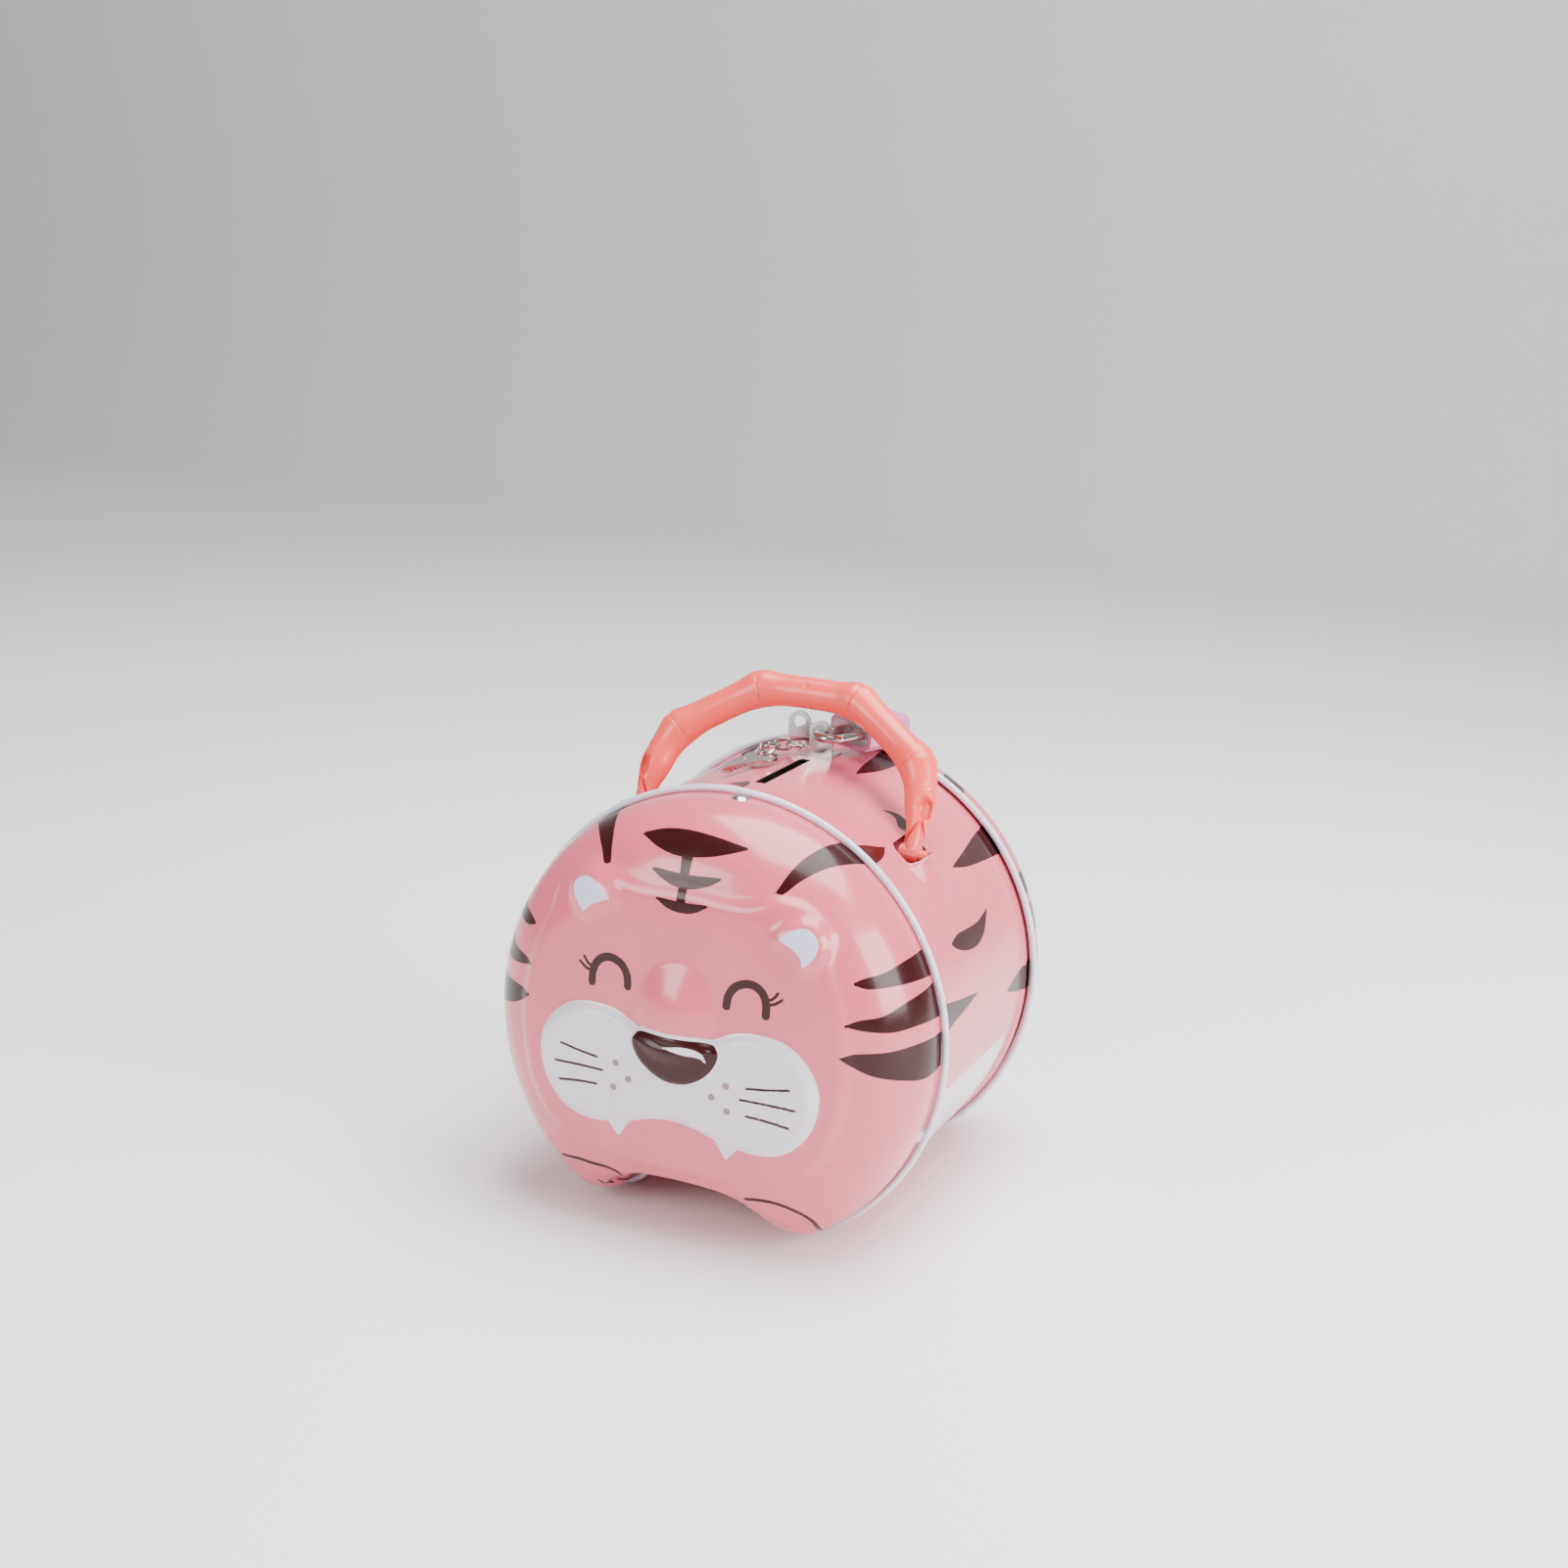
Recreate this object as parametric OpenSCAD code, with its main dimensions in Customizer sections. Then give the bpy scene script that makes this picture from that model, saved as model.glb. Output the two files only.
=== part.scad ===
// Tin money box: a round drum of printed tinplate lying on its side, with a
// drawn front cap, a hinged rear lid, a moulded bail handle, and a small
// padlock with its key on a chain.  Units: mm, +Z up, the face looks along -Y.
// The origin is on the surface it stands on, under the middle of the drum.

/* [Drum] */
// Radius of the drum's outside
body_r = 63.5; // [50:0.5:80]
// Distance between the two curled rims, from bead centre to bead centre
rim_span = 76.4; // [60:0.2:110]
// Thickness of the tinplate
tin = 0.4; // [0.3:0.05:0.6]
// How far the drum runs under each cap, past the middle of the rim
tuck = 4.6; // [4.5:0.1:5]
// Drop from the drum's axis to the underside of the feet
foot_drop = 53.6; // [46:0.2:56]
// Height of the arch between the feet
arch_rise = 9.5; // [8.5:0.1:12]
// Half width of the flat top of the arch
arch_flat = 14; // [8:0.5:15]
// Radius of the outer corner of each foot
foot_r = 7.5; // [6:0.5:12]
// Length of the flat underside of each foot
foot_flat = 2; // [1:0.2:4]
// Radius of the inner corner of each foot
instep_r = 8; // [7:0.5:10]
// Radius of the curled rims
curl_r = 1; // [0.8:0.05:1.3]
// How proud the stop bead in front of the rear rim stands
stop_bead_h = 0.6; // [0.3:0.1:0.6]

/* [Caps] */
// Depth of each cap from the middle of its rim to its crown
cap_depth = 30.4; // [26:0.2:40]
// Radius of the shoulder between a cap's skirt and its face
shoulder_r = 19.6; // [14:0.2:24]
// Fall of the domed face at the edge of the drum
dome_fall = 6.4; // [3:0.1:8]
// Gap between the drum and the skirt of the fixed front cap
front_gap = 0.1; // [0.05:0.05:0.2]
// Gap between the drum and the skirt of the opening lid
lid_gap = 0.4; // [0.35:0.05:0.6]
// Distance of the cap rivets in front of the rim
rivet_setback = 3.3; // [2.6:0.1:4.4]
// Radius of the cap rivets' heads
rivet_r = 2.5; // [1.5:0.1:3]

/* [Coin slot] */
// Length of the coin slot
slot_l = 33; // [28:0.5:38]
// Width of the coin slot
slot_w = 3.2; // [2.5:0.1:4]
// Distance of the slot's middle in front of the drum's middle
slot_y = -5.2; // [-8:0.2:-4]

/* [Handle] */
// Half the span of the handle between the middles of its feet
grip_half = 41.6; // [40:0.1:43]
// Height of the handle's crown above its pivots
grip_rise = 43.1; // [40:0.1:50]
// Radius of the grip between its nodes
grip_r = 4.6; // [3.8:0.1:5]
// Radius of the grip at its bamboo nodes
node_r = 5.6; // [4.8:0.1:5.8]
// Distance of the pivots in front of the drum's middle
pivot_y = -11; // [-13:0.5:-9]
// Angle that the handle leans back from upright
grip_lean = 32; // [10:1:34]
// Radius of the pivot pins
pin_r = 2; // [1.5:0.1:2.5]
// Running gap round the pivot and hinge pins
run_gap = 0.06; // [0.04:0.01:0.1]

/* [Hinge] */
// Height of the hinge along its pin
hinge_h = 16; // [12:1:24]
// Radius of the hinge knuckles
knuckle_r = 1.7; // [1.5:0.1:2]
// Radius of the hinge pin
hinge_pin_r = 0.8; // [0.6:0.05:1]
// Thickness of the hinge leaves and lock eyes
leaf_t = 0.8; // [0.6:0.1:1]

/* [Padlock] */
// Length of the padlock's case
case_l = 18; // [16:0.5:22]
// Width of the padlock's case over its jacket
case_w = 16; // [15:0.5:18]
// Thickness of the padlock's case over its jacket
case_t = 9; // [8:0.5:10]
// Radius of the shackle's bar
bar_r = 1.3; // [1:0.05:1.5]
// Distance between the shackle's legs
leg_gap = 8.4; // [7.4:0.1:9]
// Free length of the shackle's straight legs
leg_free = 8; // [7.5:0.1:9]
// Direction of the padlock, turned from +X towards +Y
lock_turn = 70; // [66:1:80]

/* [Key] */
// Radius of the key's bow
bow_r = 4.8; // [4.5:0.1:5.5]
// Length of the key's blade
blade_l = 13; // [10:0.5:15]
// Radius of the wire in the chain and the key ring
wire_r = 0.5; // [0.4:0.05:0.6]

/* [Hidden] */
$fn = 48;
fit = 0.02;
eps = 0.02;

// The lid's rim is the lowest edge, so it meets z = 0.
skirt_front = front_gap + tin;
skirt_lid = lid_gap + tin;
axis_z = foot_drop + skirt_lid + 2 * curl_r;
rim_y = rim_span / 2;
drum_end = rim_y + tuck;
// The skirt stays straight over the tucked-in drum, so it limits the shoulder.
shoulder = min(shoulder_r, cap_depth - dome_fall - tuck + 0.2);

// Outline of the drum: a circle, two feet and an arch between them.  Each arc
// is [centre x, centre z, radius, start angle, end angle, steps, side]; side is
// 1 where the metal is inside the arc and -1 where the arc is hollow.
// The instep and the arch meet in one tangent between the foot's flat and the
// arch's flat, so their turn follows from the width and the rise left to them.
foot_cz = foot_r - foot_drop;
foot_cx = sqrt(pow(body_r - foot_r, 2) - foot_cz * foot_cz);
instep_x = foot_cx - foot_flat;
instep_turn = 2 * atan2(arch_rise, instep_x - arch_flat);
arch_top = arch_rise - foot_drop;
arch_r = arch_rise / (1 - cos(instep_turn)) - instep_r;
foot_angle = atan2(foot_cz, foot_cx);
ARCS = [
    [0, 0, body_r, 90, foot_angle, 22, 1],
    [foot_cx, foot_cz, foot_r, foot_angle, -90, 4, 1],
    [instep_x, instep_r - foot_drop, instep_r, -90, -90 - instep_turn, 5, 1],
    [arch_flat, arch_top - arch_r, arch_r, 90 - instep_turn, 90, 5, -1]
];
function arc_points(a, out) = [
    for (i = [0:a[5]])
        let (q = a[3] + (a[4] - a[3]) * i / a[5], r = a[2] + a[6] * out)
        [a[0] + r * cos(q), a[1] + r * sin(q)]
];
// The right half without its first point, which is on the line of symmetry,
// and without the points where one arc runs on into the next.
function half_outline(out) = [
    for (k = [0:len(ARCS) - 1])
        let (p = arc_points(ARCS[k], out), last = len(p) - (k == 0 || k == 2 ? 2 : 1))
        for (i = [(k == 0 ? 1 : 0):last]) p[i]
];
function outline(out) =
    let (h = half_outline(out), n = len(h))
    concat([[0, body_r + out]], h, [for (i = [n - 1:-1:0]) [-h[i][0], h[i][1]]]);

// Places a flat (x, z) shape as a slab from y0 to y1.
module slab(y0, y1) {
    translate([0, y1, 0]) rotate([90, 0, 0]) linear_extrude(y1 - y0) children();
}
module at_axis() {
    translate([0, 0, axis_z]) children();
}
// A strip of ring round the drum's axis, from radius r0 to r1 and y0 to y1.
module ring_band(r0, r1, y0, y1) {
    translate([0, y1, 0]) rotate([90, 0, 0]) difference() {
        cylinder(h = y1 - y0, r = r1, $fn = 96);
        if (r0 > 0) translate([0, 0, -1]) cylinder(h = y1 - y0 + 2, r = r0, $fn = 96);
    }
}
// A dome-headed rivet standing on z = 0, with its shank below.
module rivet(head_r, head_h, shank_r, shank_l) {
    dome_r = (head_r * head_r + head_h * head_h) / (2 * head_h);
    intersection() {
        translate([0, 0, head_h - dome_r]) sphere(r = dome_r);
        cylinder(h = head_h + 1, r = head_r);
    }
    translate([0, 0, -shank_l]) cylinder(h = shank_l + eps, r = shank_r);
}
// Stands a shape on the drum's side: radius r, turned clockwise from the top.
module on_side(turn, y, r) {
    rotate([0, turn, 0]) translate([0, y, r]) children();
}

// ---- caps ---------------------------------------------------------------
// A cap is one sheet: face, shoulder and skirt, ending in an outward curl.
// Its rings run from the crown outside, over the curl, back to the crown
// inside.  Ring: [out, drop, spread, fixed depth]; out is the offset from the
// drum's outline, drop the fall below the domed face, spread shrinks the ring
// towards the crown, and a fixed depth overrides the first two's height.
edge_in = 5;
function ring_point(p_out, p_in, out) =
    out > -edge_in ? p_out :
        let (r = norm(p_in)) p_in * (1 - (-out - edge_in) / r);
function dome_depth(p) = cap_depth - dome_fall * (p * p) / (body_r * body_r);
function cap_ring(ring, sheet) =
    let (a = outline(max(ring[0], -edge_in)), b = outline(-edge_in))
    [for (i = [0:len(a) - 1])
        let (p = ring_point(a[i], b[i], ring[0]) * ring[2])
        [p[0], ring[3] == undef ? dome_depth(p) - ring[1] - sheet : ring[3], p[1]]];
shoulder_steps = [90, 72, 56, 42, 28, 14, 0];
function cap_outer(skirt) = concat(
    [for (m = [0.3, 0.65]) [skirt - shoulder, 0, m]],
    [for (q = shoulder_steps)
        [skirt - shoulder * (1 - cos(q)), shoulder * (1 - sin(q)), 1]]);
// The outermost facet of the curl is what the box stands on.
curl_flat = 25;
function cap_curl(skirt) = concat(
    [[skirt, 0, 1, 1.4 * curl_r]],
    [for (q = [120, 75, curl_flat, -curl_flat, -75, -120])
        [skirt + curl_r * (1 + cos(q) / cos(curl_flat)), 0, 1, curl_r * sin(q)]],
    [[skirt - tin, 0, 1, -curl_r * sin(60)]]);
function cap_inner(skirt) = concat(
    [for (k = [len(shoulder_steps) - 1:-1:0])
        let (q = shoulder_steps[k])
        [skirt - shoulder + (shoulder - tin) * cos(q),
         (shoulder - tin) * (1 - sin(q)), 1]],
    [for (m = [0.65, 0.3]) [skirt - shoulder, 0, m]]);
module cap(skirt, toward) {
    outer = cap_outer(skirt);
    inner = cap_inner(skirt);
    rings = concat(
        [for (r = outer) cap_ring(r, 0)],
        [for (r = cap_curl(skirt)) cap_ring(r, 0)],
        [for (r = inner) cap_ring(r, tin)]);
    n = len(rings[0]);
    m = len(rings);
    flat = [for (r = rings) each r];
    points = concat(flat, [[0, cap_depth, 0], [0, cap_depth - tin, 0]]);
    placed = [for (p = points) [p[0], toward * (rim_y + p[1]), p[2]]];
    sides = [for (j = [0:m - 2], i = [0:n - 1], half = [0, 1])
        let (a = j * n + i, b = j * n + (i + 1) % n)
        half == 0 ? [a, b, b + n] : [a, b + n, a + n]];
    crowns = concat(
        [for (i = [0:n - 1]) [m * n, (i + 1) % n, i]],
        [for (i = [0:n - 1]) [m * n + 1, (m - 1) * n + i, (m - 1) * n + (i + 1) % n]]);
    faces = concat(sides, crowns);
    polyhedron(placed, toward > 0 ? faces : [for (f = faces) [f[0], f[2], f[1]]]);
}

// ---- swept bars -----------------------------------------------------------
// A bar of 12 sides along a path: half thicknesses u and v at each point, with
// v across the plane that the path lies in.
bar_sides = 12;
function unit(v) = v / norm(v);
function along(path, i) =
    unit(path[min(i + 1, len(path) - 1)] - path[max(i - 1, 0)]);
module swept_bar(path, u, v, side_way) {
    n = bar_sides;
    m = len(path);
    pts = [for (i = [0:m - 1], k = [0:n - 1])
        let (t = along(path, i), w = side_way, s = unit(cross(w, t)), q = 360 * k / n)
        path[i] + s * u[i] * cos(q) + w * v[i] * sin(q)];
    faces = concat(
        [for (i = [0:m - 2], k = [0:n - 1], half = [0, 1])
            let (a = i * n + k, b = i * n + (k + 1) % n)
            half == 0 ? [a, b + n, b] : [a, a + n, b + n]],
        [[for (k = [0:n - 1]) k], [for (k = [n - 1:-1:0]) (m - 1) * n + k]]);
    polyhedron(pts, faces);
}

// ---- drum -----------------------------------------------------------------
foot_half = 2.6;
foot_gap = 0.5;
boss_r = 5;
boss_l = 3.6;
boss_floor = 0.7;
boss_x = grip_half + foot_half + foot_gap;
pivot_z = sqrt(body_r * body_r - boss_x * boss_x) + 1.6;
bead_w = 1.6;
bead_y = rim_y - curl_r - bead_w - 1.4;
module stop_bead() {
    difference() {
        slab(bead_y, bead_y + bead_w) difference() {
            polygon(outline(stop_bead_h));
            polygon(outline(-tin / 2));
        }
        translate([-2 * body_r, bead_y - 1, -hinge_h / 2 - 1])
            cube([body_r, bead_w + 2, hinge_h + 2]);
    }
}
// The pressed eye that a foot of the handle turns in, on the right side.
module pivot_boss() {
    translate([boss_x, pivot_y, pivot_z]) rotate([0, 90, 0])
        cylinder(h = boss_l, r = boss_r);
}
module pivot_cuts() {
    window_w = 19;
    foot_room = 2 * foot_half + 2 * foot_gap + 0.6;
    translate([boss_x - foot_room, pivot_y - window_w / 2, pivot_z - 3])
        cube([foot_room, window_w, body_r]);
    translate([boss_x - foot_gap, pivot_y, pivot_z]) rotate([0, 90, 0])
        cylinder(h = boss_l + foot_gap - boss_floor, r = pin_r + run_gap);
}
module drum_shell() {
    color("pink") at_axis() difference() {
        union() {
            slab(-drum_end, drum_end) difference() {
                polygon(outline(0));
                polygon(outline(-tin));
            }
            stop_bead();
            pivot_boss();
            mirror([1, 0, 0]) pivot_boss();
        }
        pivot_cuts();
        mirror([1, 0, 0]) pivot_cuts();
        translate([-slot_w / 2, slot_y - slot_l / 2, body_r - 3])
            cube([slot_w, slot_l, 6]);
    }
}
module front_cap() {
    color("pink") at_axis() cap(skirt_front, -1);
}
module rear_lid() {
    color("pink") at_axis() cap(skirt_lid, 1);
}
rivet_turns = [3, 109, -109];
module front_cap_rivets() {
    color("silver") at_axis() for (turn = rivet_turns)
        on_side(turn, -rim_y - rivet_setback, body_r + skirt_front - 0.1)
            rivet(rivet_r, 1.1, 1, tin + skirt_front + 0.4);
}

// ---- handle ---------------------------------------------------------------
// The middle line of the grip's right half runs from its foot through a low
// and a high node; each stretch between nodes is a shallow bow.
leg_start = [grip_half, 4];
low_node = [0.885 * grip_half, 0.62 * grip_rise];
high_node = [0.36 * grip_half, 0.98 * grip_rise];
function mirrored(p) = [-p[0], p[1]];
STRETCHES = [
    [leg_start, low_node, 1.6],
    [low_node, high_node, 0.4],
    [high_node, mirrored(high_node), 0.5],
    [mirrored(high_node), mirrored(low_node), 0.4],
    [mirrored(low_node), mirrored(leg_start), 1.6]
];
stations = [0, 0.07, 0.17, 0.33, 0.5, 0.67, 0.83, 0.93, 1];
node_reach = 6;
foot_reach = 12;
function stretch_point(s, t) =
    let (d = s[1] - s[0], p = s[0] + d * t + [d[1], -d[0]] / norm(d) * s[2] * 4 * t * (1 - t))
    [p[0], 0, p[1]];
// Distances back to the start of the stretch and on to its end set the swell.
function stretch_width(k, t, foot) =
    let (l = norm(STRETCHES[k][1] - STRETCHES[k][0]), back = l * t, on = l - back,
         near = min(k == 0 ? on : k == 4 ? back : min(back, on), node_reach) / node_reach,
         full = node_r + (grip_r - node_r) * near,
         up = min(1, (k == 0 ? back : k == 4 ? on : foot_reach) / foot_reach))
    foot + (full - foot) * (3 - 2 * up) * up * up;
function grip_list(kind, foot) = [
    for (k = [0:4], i = [(k == 0 ? 0 : 1):len(stations) - 1])
        kind == 0 ? stretch_point(STRETCHES[k], stations[i])
                  : stretch_width(k, stations[i], foot)];
module handle() {
    eye_r = 3.1;
    path = concat([[grip_half, 0, 0]], grip_list(0, 0), [[-grip_half, 0, 0]]);
    u = concat([foot_half], grip_list(1, foot_half), [foot_half]);
    v = concat([eye_r], grip_list(1, eye_r), [eye_r]);
    color("salmon") at_axis()
    translate([0, pivot_y, pivot_z]) rotate([-grip_lean, 0, 0]) {
        swept_bar(path, u, v, [0, 1, 0]);
        for (side = [-1, 1])
            translate([side * grip_half, 0, 0]) rotate([0, side * 90, 0]) {
                translate([0, 0, -foot_half]) cylinder(h = 2 * foot_half, r = eye_r + 0.1);
                cylinder(h = foot_half + foot_gap + boss_l - boss_floor - 0.4, r = pin_r);
            }
    }
}

// ---- hinge, on the left -----------------------------------------------------
hinge_x = -(body_r + skirt_lid + curl_r + 0.7);
hinge_y = rim_y - curl_r - knuckle_r - 0.5;
leaf_l = 12;
knuckle_h = 5.2;
knuckle_gap = 0.2;
skirt_r = body_r + skirt_lid;
lid_leaf_y = rim_y + curl_r + 0.5;
hinge_rivet_turns = [-93.6, -86.4];
module hinge_barrel(z0, z1) {
    translate([hinge_x, hinge_y, z0]) cylinder(h = z1 - z0, r = knuckle_r);
}
module leaf_band(r, y0, y1) {
    intersection() {
        ring_band(r, r + leaf_t, y0, y1);
        translate([-r - 10, y0 - 1, -hinge_h / 2]) cube([r, y1 - y0 + 2, hinge_h]);
    }
}
module hinge_leaf_drum() {
    web_y = hinge_y - knuckle_r;
    color("silver") at_axis() difference() {
        union() {
            leaf_band(body_r + fit, web_y - leaf_l, web_y);
            for (side = [-1, 1]) {
                z0 = side > 0 ? knuckle_h / 2 + knuckle_gap : -hinge_h / 2;
                z1 = side > 0 ? hinge_h / 2 : -knuckle_h / 2 - knuckle_gap;
                hinge_barrel(z0, z1);
                translate([hinge_x, web_y - leaf_t, z0])
                    cube([-body_r - 0.2 - hinge_x, 2 * leaf_t, z1 - z0]);
            }
        }
        translate([hinge_x, hinge_y, -hinge_h]) cylinder(h = 2 * hinge_h, r = hinge_pin_r);
    }
}
module hinge_leaf_lid() {
    outer_x = hinge_x - knuckle_r;
    color("silver") at_axis() difference() {
        union() {
            hinge_barrel(-knuckle_h / 2, knuckle_h / 2);
            translate([outer_x, hinge_y, -knuckle_h / 2])
                cube([leaf_t, lid_leaf_y - hinge_y + leaf_t, knuckle_h]);
            translate([outer_x, lid_leaf_y, -knuckle_h / 2])
                cube([-skirt_r - outer_x, leaf_t, knuckle_h]);
            leaf_band(skirt_r + fit, lid_leaf_y, lid_leaf_y + leaf_l / 2);
        }
        translate([hinge_x, hinge_y, -hinge_h])
            cylinder(h = 2 * hinge_h, r = hinge_pin_r + run_gap);
    }
}
module hinge_pin() {
    color("silver") at_axis() translate([hinge_x, hinge_y, 0]) {
        translate([0, 0, -hinge_h / 2 - 0.5]) cylinder(h = hinge_h + 1, r = hinge_pin_r);
        for (side = [-1, 1])
            translate([0, 0, side * (hinge_h / 2 + 0.25) - 0.25])
                cylinder(h = 0.5, r = hinge_pin_r + 0.4);
    }
}
module leaf_rivets(y, r) {
    for (turn = hinge_rivet_turns)
        on_side(turn, y, r) rivet(1.5, 0.7, 0.7, leaf_t + tin + 0.2);
}
module hinge_rivets_drum() {
    color("silver") at_axis()
        leaf_rivets(hinge_y - knuckle_r - leaf_l / 2, body_r + leaf_t);
}
module hinge_rivets_lid() {
    color("silver") at_axis()
        leaf_rivets(lid_leaf_y + leaf_l / 4, skirt_r + leaf_t);
}

// ---- lock eyes on top -------------------------------------------------------
eye_half = 3.6;
eye_hole_r = 2.6;
eye_x = 2.5;
eye_y = slot_y + slot_l / 2 + 4.7;
eye_z = body_r + 7.2;
eye_base_l = 8;
lid_eye_x = -8.5;
lid_eye_half = 3.5;
lid_eye_y = eye_y + 9.2;
strap_z = body_r + skirt_lid + 2 * curl_r + 0.3;
wing_x = -3.2;
wing_z = body_r + 2.6;
wing_r = 1.5;
wing_hole_r = 1;
// An upright tab with a round top and a hole, its front face at y.
module eye_tab(x, y, z_foot, z_hole, half, hole_r) {
    difference() {
        union() {
            translate([x - half, y, z_foot]) cube([2 * half, leaf_t, z_hole - z_foot]);
            translate([x, y + leaf_t, z_hole]) rotate([90, 0, 0])
                cylinder(h = leaf_t, r = half);
        }
        translate([x, y + leaf_t + 1, z_hole]) rotate([90, 0, 0])
            cylinder(h = leaf_t + 2, r = hole_r);
    }
}
module lock_eye_drum() {
    front = eye_y - leaf_t / 2;
    color("silver") at_axis() {
        intersection() {
            ring_band(body_r + fit, body_r + leaf_t, front, front + eye_base_l);
            translate([eye_x - eye_half, front - 1, 0])
                cube([2 * eye_half, eye_base_l + 2, 2 * body_r]);
        }
        difference() {
            union() {
                eye_tab(eye_x, front, body_r + 0.1, eye_z, eye_half, eye_hole_r);
                eye_tab(wing_x, front, body_r + 0.1, wing_z, wing_r, wing_hole_r);
                translate([wing_x + wing_hole_r, front, body_r + 0.1])
                    cube([eye_x - wing_x - eye_hole_r, leaf_t, wing_z - body_r]);
            }
            translate([wing_x, front + leaf_t + 1, wing_z]) rotate([90, 0, 0])
                cylinder(h = leaf_t + 2, r = wing_hole_r);
        }
    }
}
module lock_eye_drum_rivets() {
    turn = asin(eye_x / body_r);
    color("silver") at_axis() for (back = [0.45, 0.85])
        on_side(turn, eye_y + back * eye_base_l - 0.5, body_r + leaf_t)
            rivet(1.3, 0.7, 0.7, leaf_t + tin + 0.5);
}
module lock_eye_lid() {
    color("silver") at_axis() {
        intersection() {
            ring_band(skirt_r + fit, skirt_r + leaf_t, lid_leaf_y, lid_leaf_y + 6);
            translate([lid_eye_x - lid_eye_half, 0, 0])
                cube([2 * lid_eye_half, 2 * body_r, 2 * body_r]);
        }
        difference() {
            translate([lid_eye_x - lid_eye_half, lid_leaf_y, 0])
                cube([2 * lid_eye_half, leaf_t, strap_z + leaf_t]);
            ring_band(0, skirt_r + fit, lid_leaf_y - 1, lid_leaf_y + leaf_t + 1);
        }
        translate([lid_eye_x - lid_eye_half, lid_eye_y, strap_z])
            cube([2 * lid_eye_half, lid_leaf_y + leaf_t - lid_eye_y, leaf_t]);
        eye_tab(lid_eye_x, lid_eye_y, strap_z, eye_z, lid_eye_half, 2);
    }
}
module lock_eye_lid_rivets() {
    turn = asin(lid_eye_x / skirt_r);
    color("silver") at_axis() for (side = [-1.6, 1.6])
        on_side(turn + side, lid_leaf_y + 3.4, skirt_r + leaf_t)
            rivet(1.2, 0.6, 0.6, leaf_t + tin + 0.2);
}

// ---- padlock ----------------------------------------------------------------
// Its own frame starts at the drum's lock eye, where the long leg passes
// through: x runs from the shackle to the case, y towards the long leg.
case_back = 7.5;
case_y = -leg_gap / 2;
jacket_t = 1.2;
rib_r = 0.5;
rib_pitch = 2;
long_leg = 11;
short_leg = 4;
cylinder_r = 2.4;
cylinder_l = 8;
key_end = case_back + case_l;
function round_rect(w, h, r) = [
    for (c = [0:3], i = [0:4])
        let (q = 90 * c + 22.5 * i,
             sx = (c == 0 || c == 3) ? 1 : -1, sy = c < 2 ? 1 : -1)
        [sx * (w / 2 - r) + r * cos(q), sy * (h / 2 - r) + r * sin(q)]];
module in_lock() {
    translate([eye_x, eye_y, axis_z + eye_z]) rotate([0, 0, lock_turn]) children();
}
module lengthwise(x0, x1) {
    translate([x0, 0, 0]) rotate([90, 0, 90]) linear_extrude(x1 - x0) children();
}
module bar_x(x0, x1, y, r) {
    translate([x0, y, 0]) rotate([0, 90, 0]) cylinder(h = x1 - x0, r = r);
}
latch_x = case_back + 1.2;
latch_l = 2;
latch_y = -leg_gap + bar_r + 0.15;
latch_room = 0.15;
module case_section() {
    translate([case_y, 0])
        polygon(round_rect(case_w - 2 * jacket_t, case_t - 2 * jacket_t, 1.5));
}
module padlock_case() {
    color("silver") in_lock() difference() {
        lengthwise(case_back, key_end) case_section();
        bar_x(case_back - 1, case_back + long_leg + 0.8, 0, bar_r + run_gap);
        bar_x(case_back - 1, case_back + short_leg + 1, -leg_gap, bar_r + run_gap);
        bar_x(key_end - cylinder_l, key_end + 1, case_y, cylinder_r + run_gap);
        translate([latch_x - latch_room, -leg_gap, -1 - latch_room])
            cube([latch_l + 2 * latch_room, leg_gap - bar_r - 1, 2 + 2 * latch_room]);
    }
}
module padlock_jacket() {
    color("orchid") in_lock() lengthwise(case_back + 0.4, key_end - 0.4) difference() {
        union() {
            translate([case_y, 0]) polygon(round_rect(case_w, case_t, 2.4));
            for (k = [-3:3], side = [-1, 1])
                translate([case_y + k * rib_pitch, side * (case_t / 2 - 0.25)])
                    circle(r = rib_r, $fn = 24);
        }
        case_section();
    }
}
module padlock_shackle() {
    bend_x = case_back - leg_free;
    color("gainsboro") in_lock() difference() {
        union() {
            bar_x(bend_x, case_back + long_leg, 0, bar_r);
            bar_x(bend_x, case_back + short_leg, -leg_gap, bar_r);
            translate([bend_x, case_y, 0]) rotate([0, 0, 90])
                rotate_extrude(angle = 180) translate([leg_gap / 2, 0]) circle(r = bar_r);
        }
        translate([latch_x - 0.3, bar_r - leg_gap - 0.5, -bar_r])
            cube([latch_l + 0.6, bar_r, 2 * bar_r]);
    }
}
module padlock_cylinder() {
    color("gold") in_lock() difference() {
        bar_x(key_end - cylinder_l + 0.2, key_end - 0.2, case_y, cylinder_r);
        translate([key_end - 6, case_y - 0.5, -1.7]) cube([7, 1, 3.4]);
    }
}
module padlock_latch() {
    color("gold") in_lock() translate([latch_x, latch_y, -1]) cube([latch_l, 3, 2]);
}
module padlock_latch_spring() {
    coil_r = 0.7;
    turns = 3;
    steps = 30;
    room = -bar_r - 1 - latch_y - 3 - 0.3;
    path = [for (i = [0:steps])
        let (q = 360 * turns * i / steps)
        [coil_r * cos(q), room * i / steps, coil_r * sin(q)]];
    half = [for (p = path) 0.12];
    color("silver") in_lock()
        translate([latch_x + latch_l / 2, latch_y + 3.15, 0])
            swept_bar(path, half, half, [0, 1, 0]);
}

// ---- key on its chain -------------------------------------------------------
link_l = 6;
link_w = 4;
function top_z(x) = sqrt(body_r * body_r - x * x);
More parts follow.
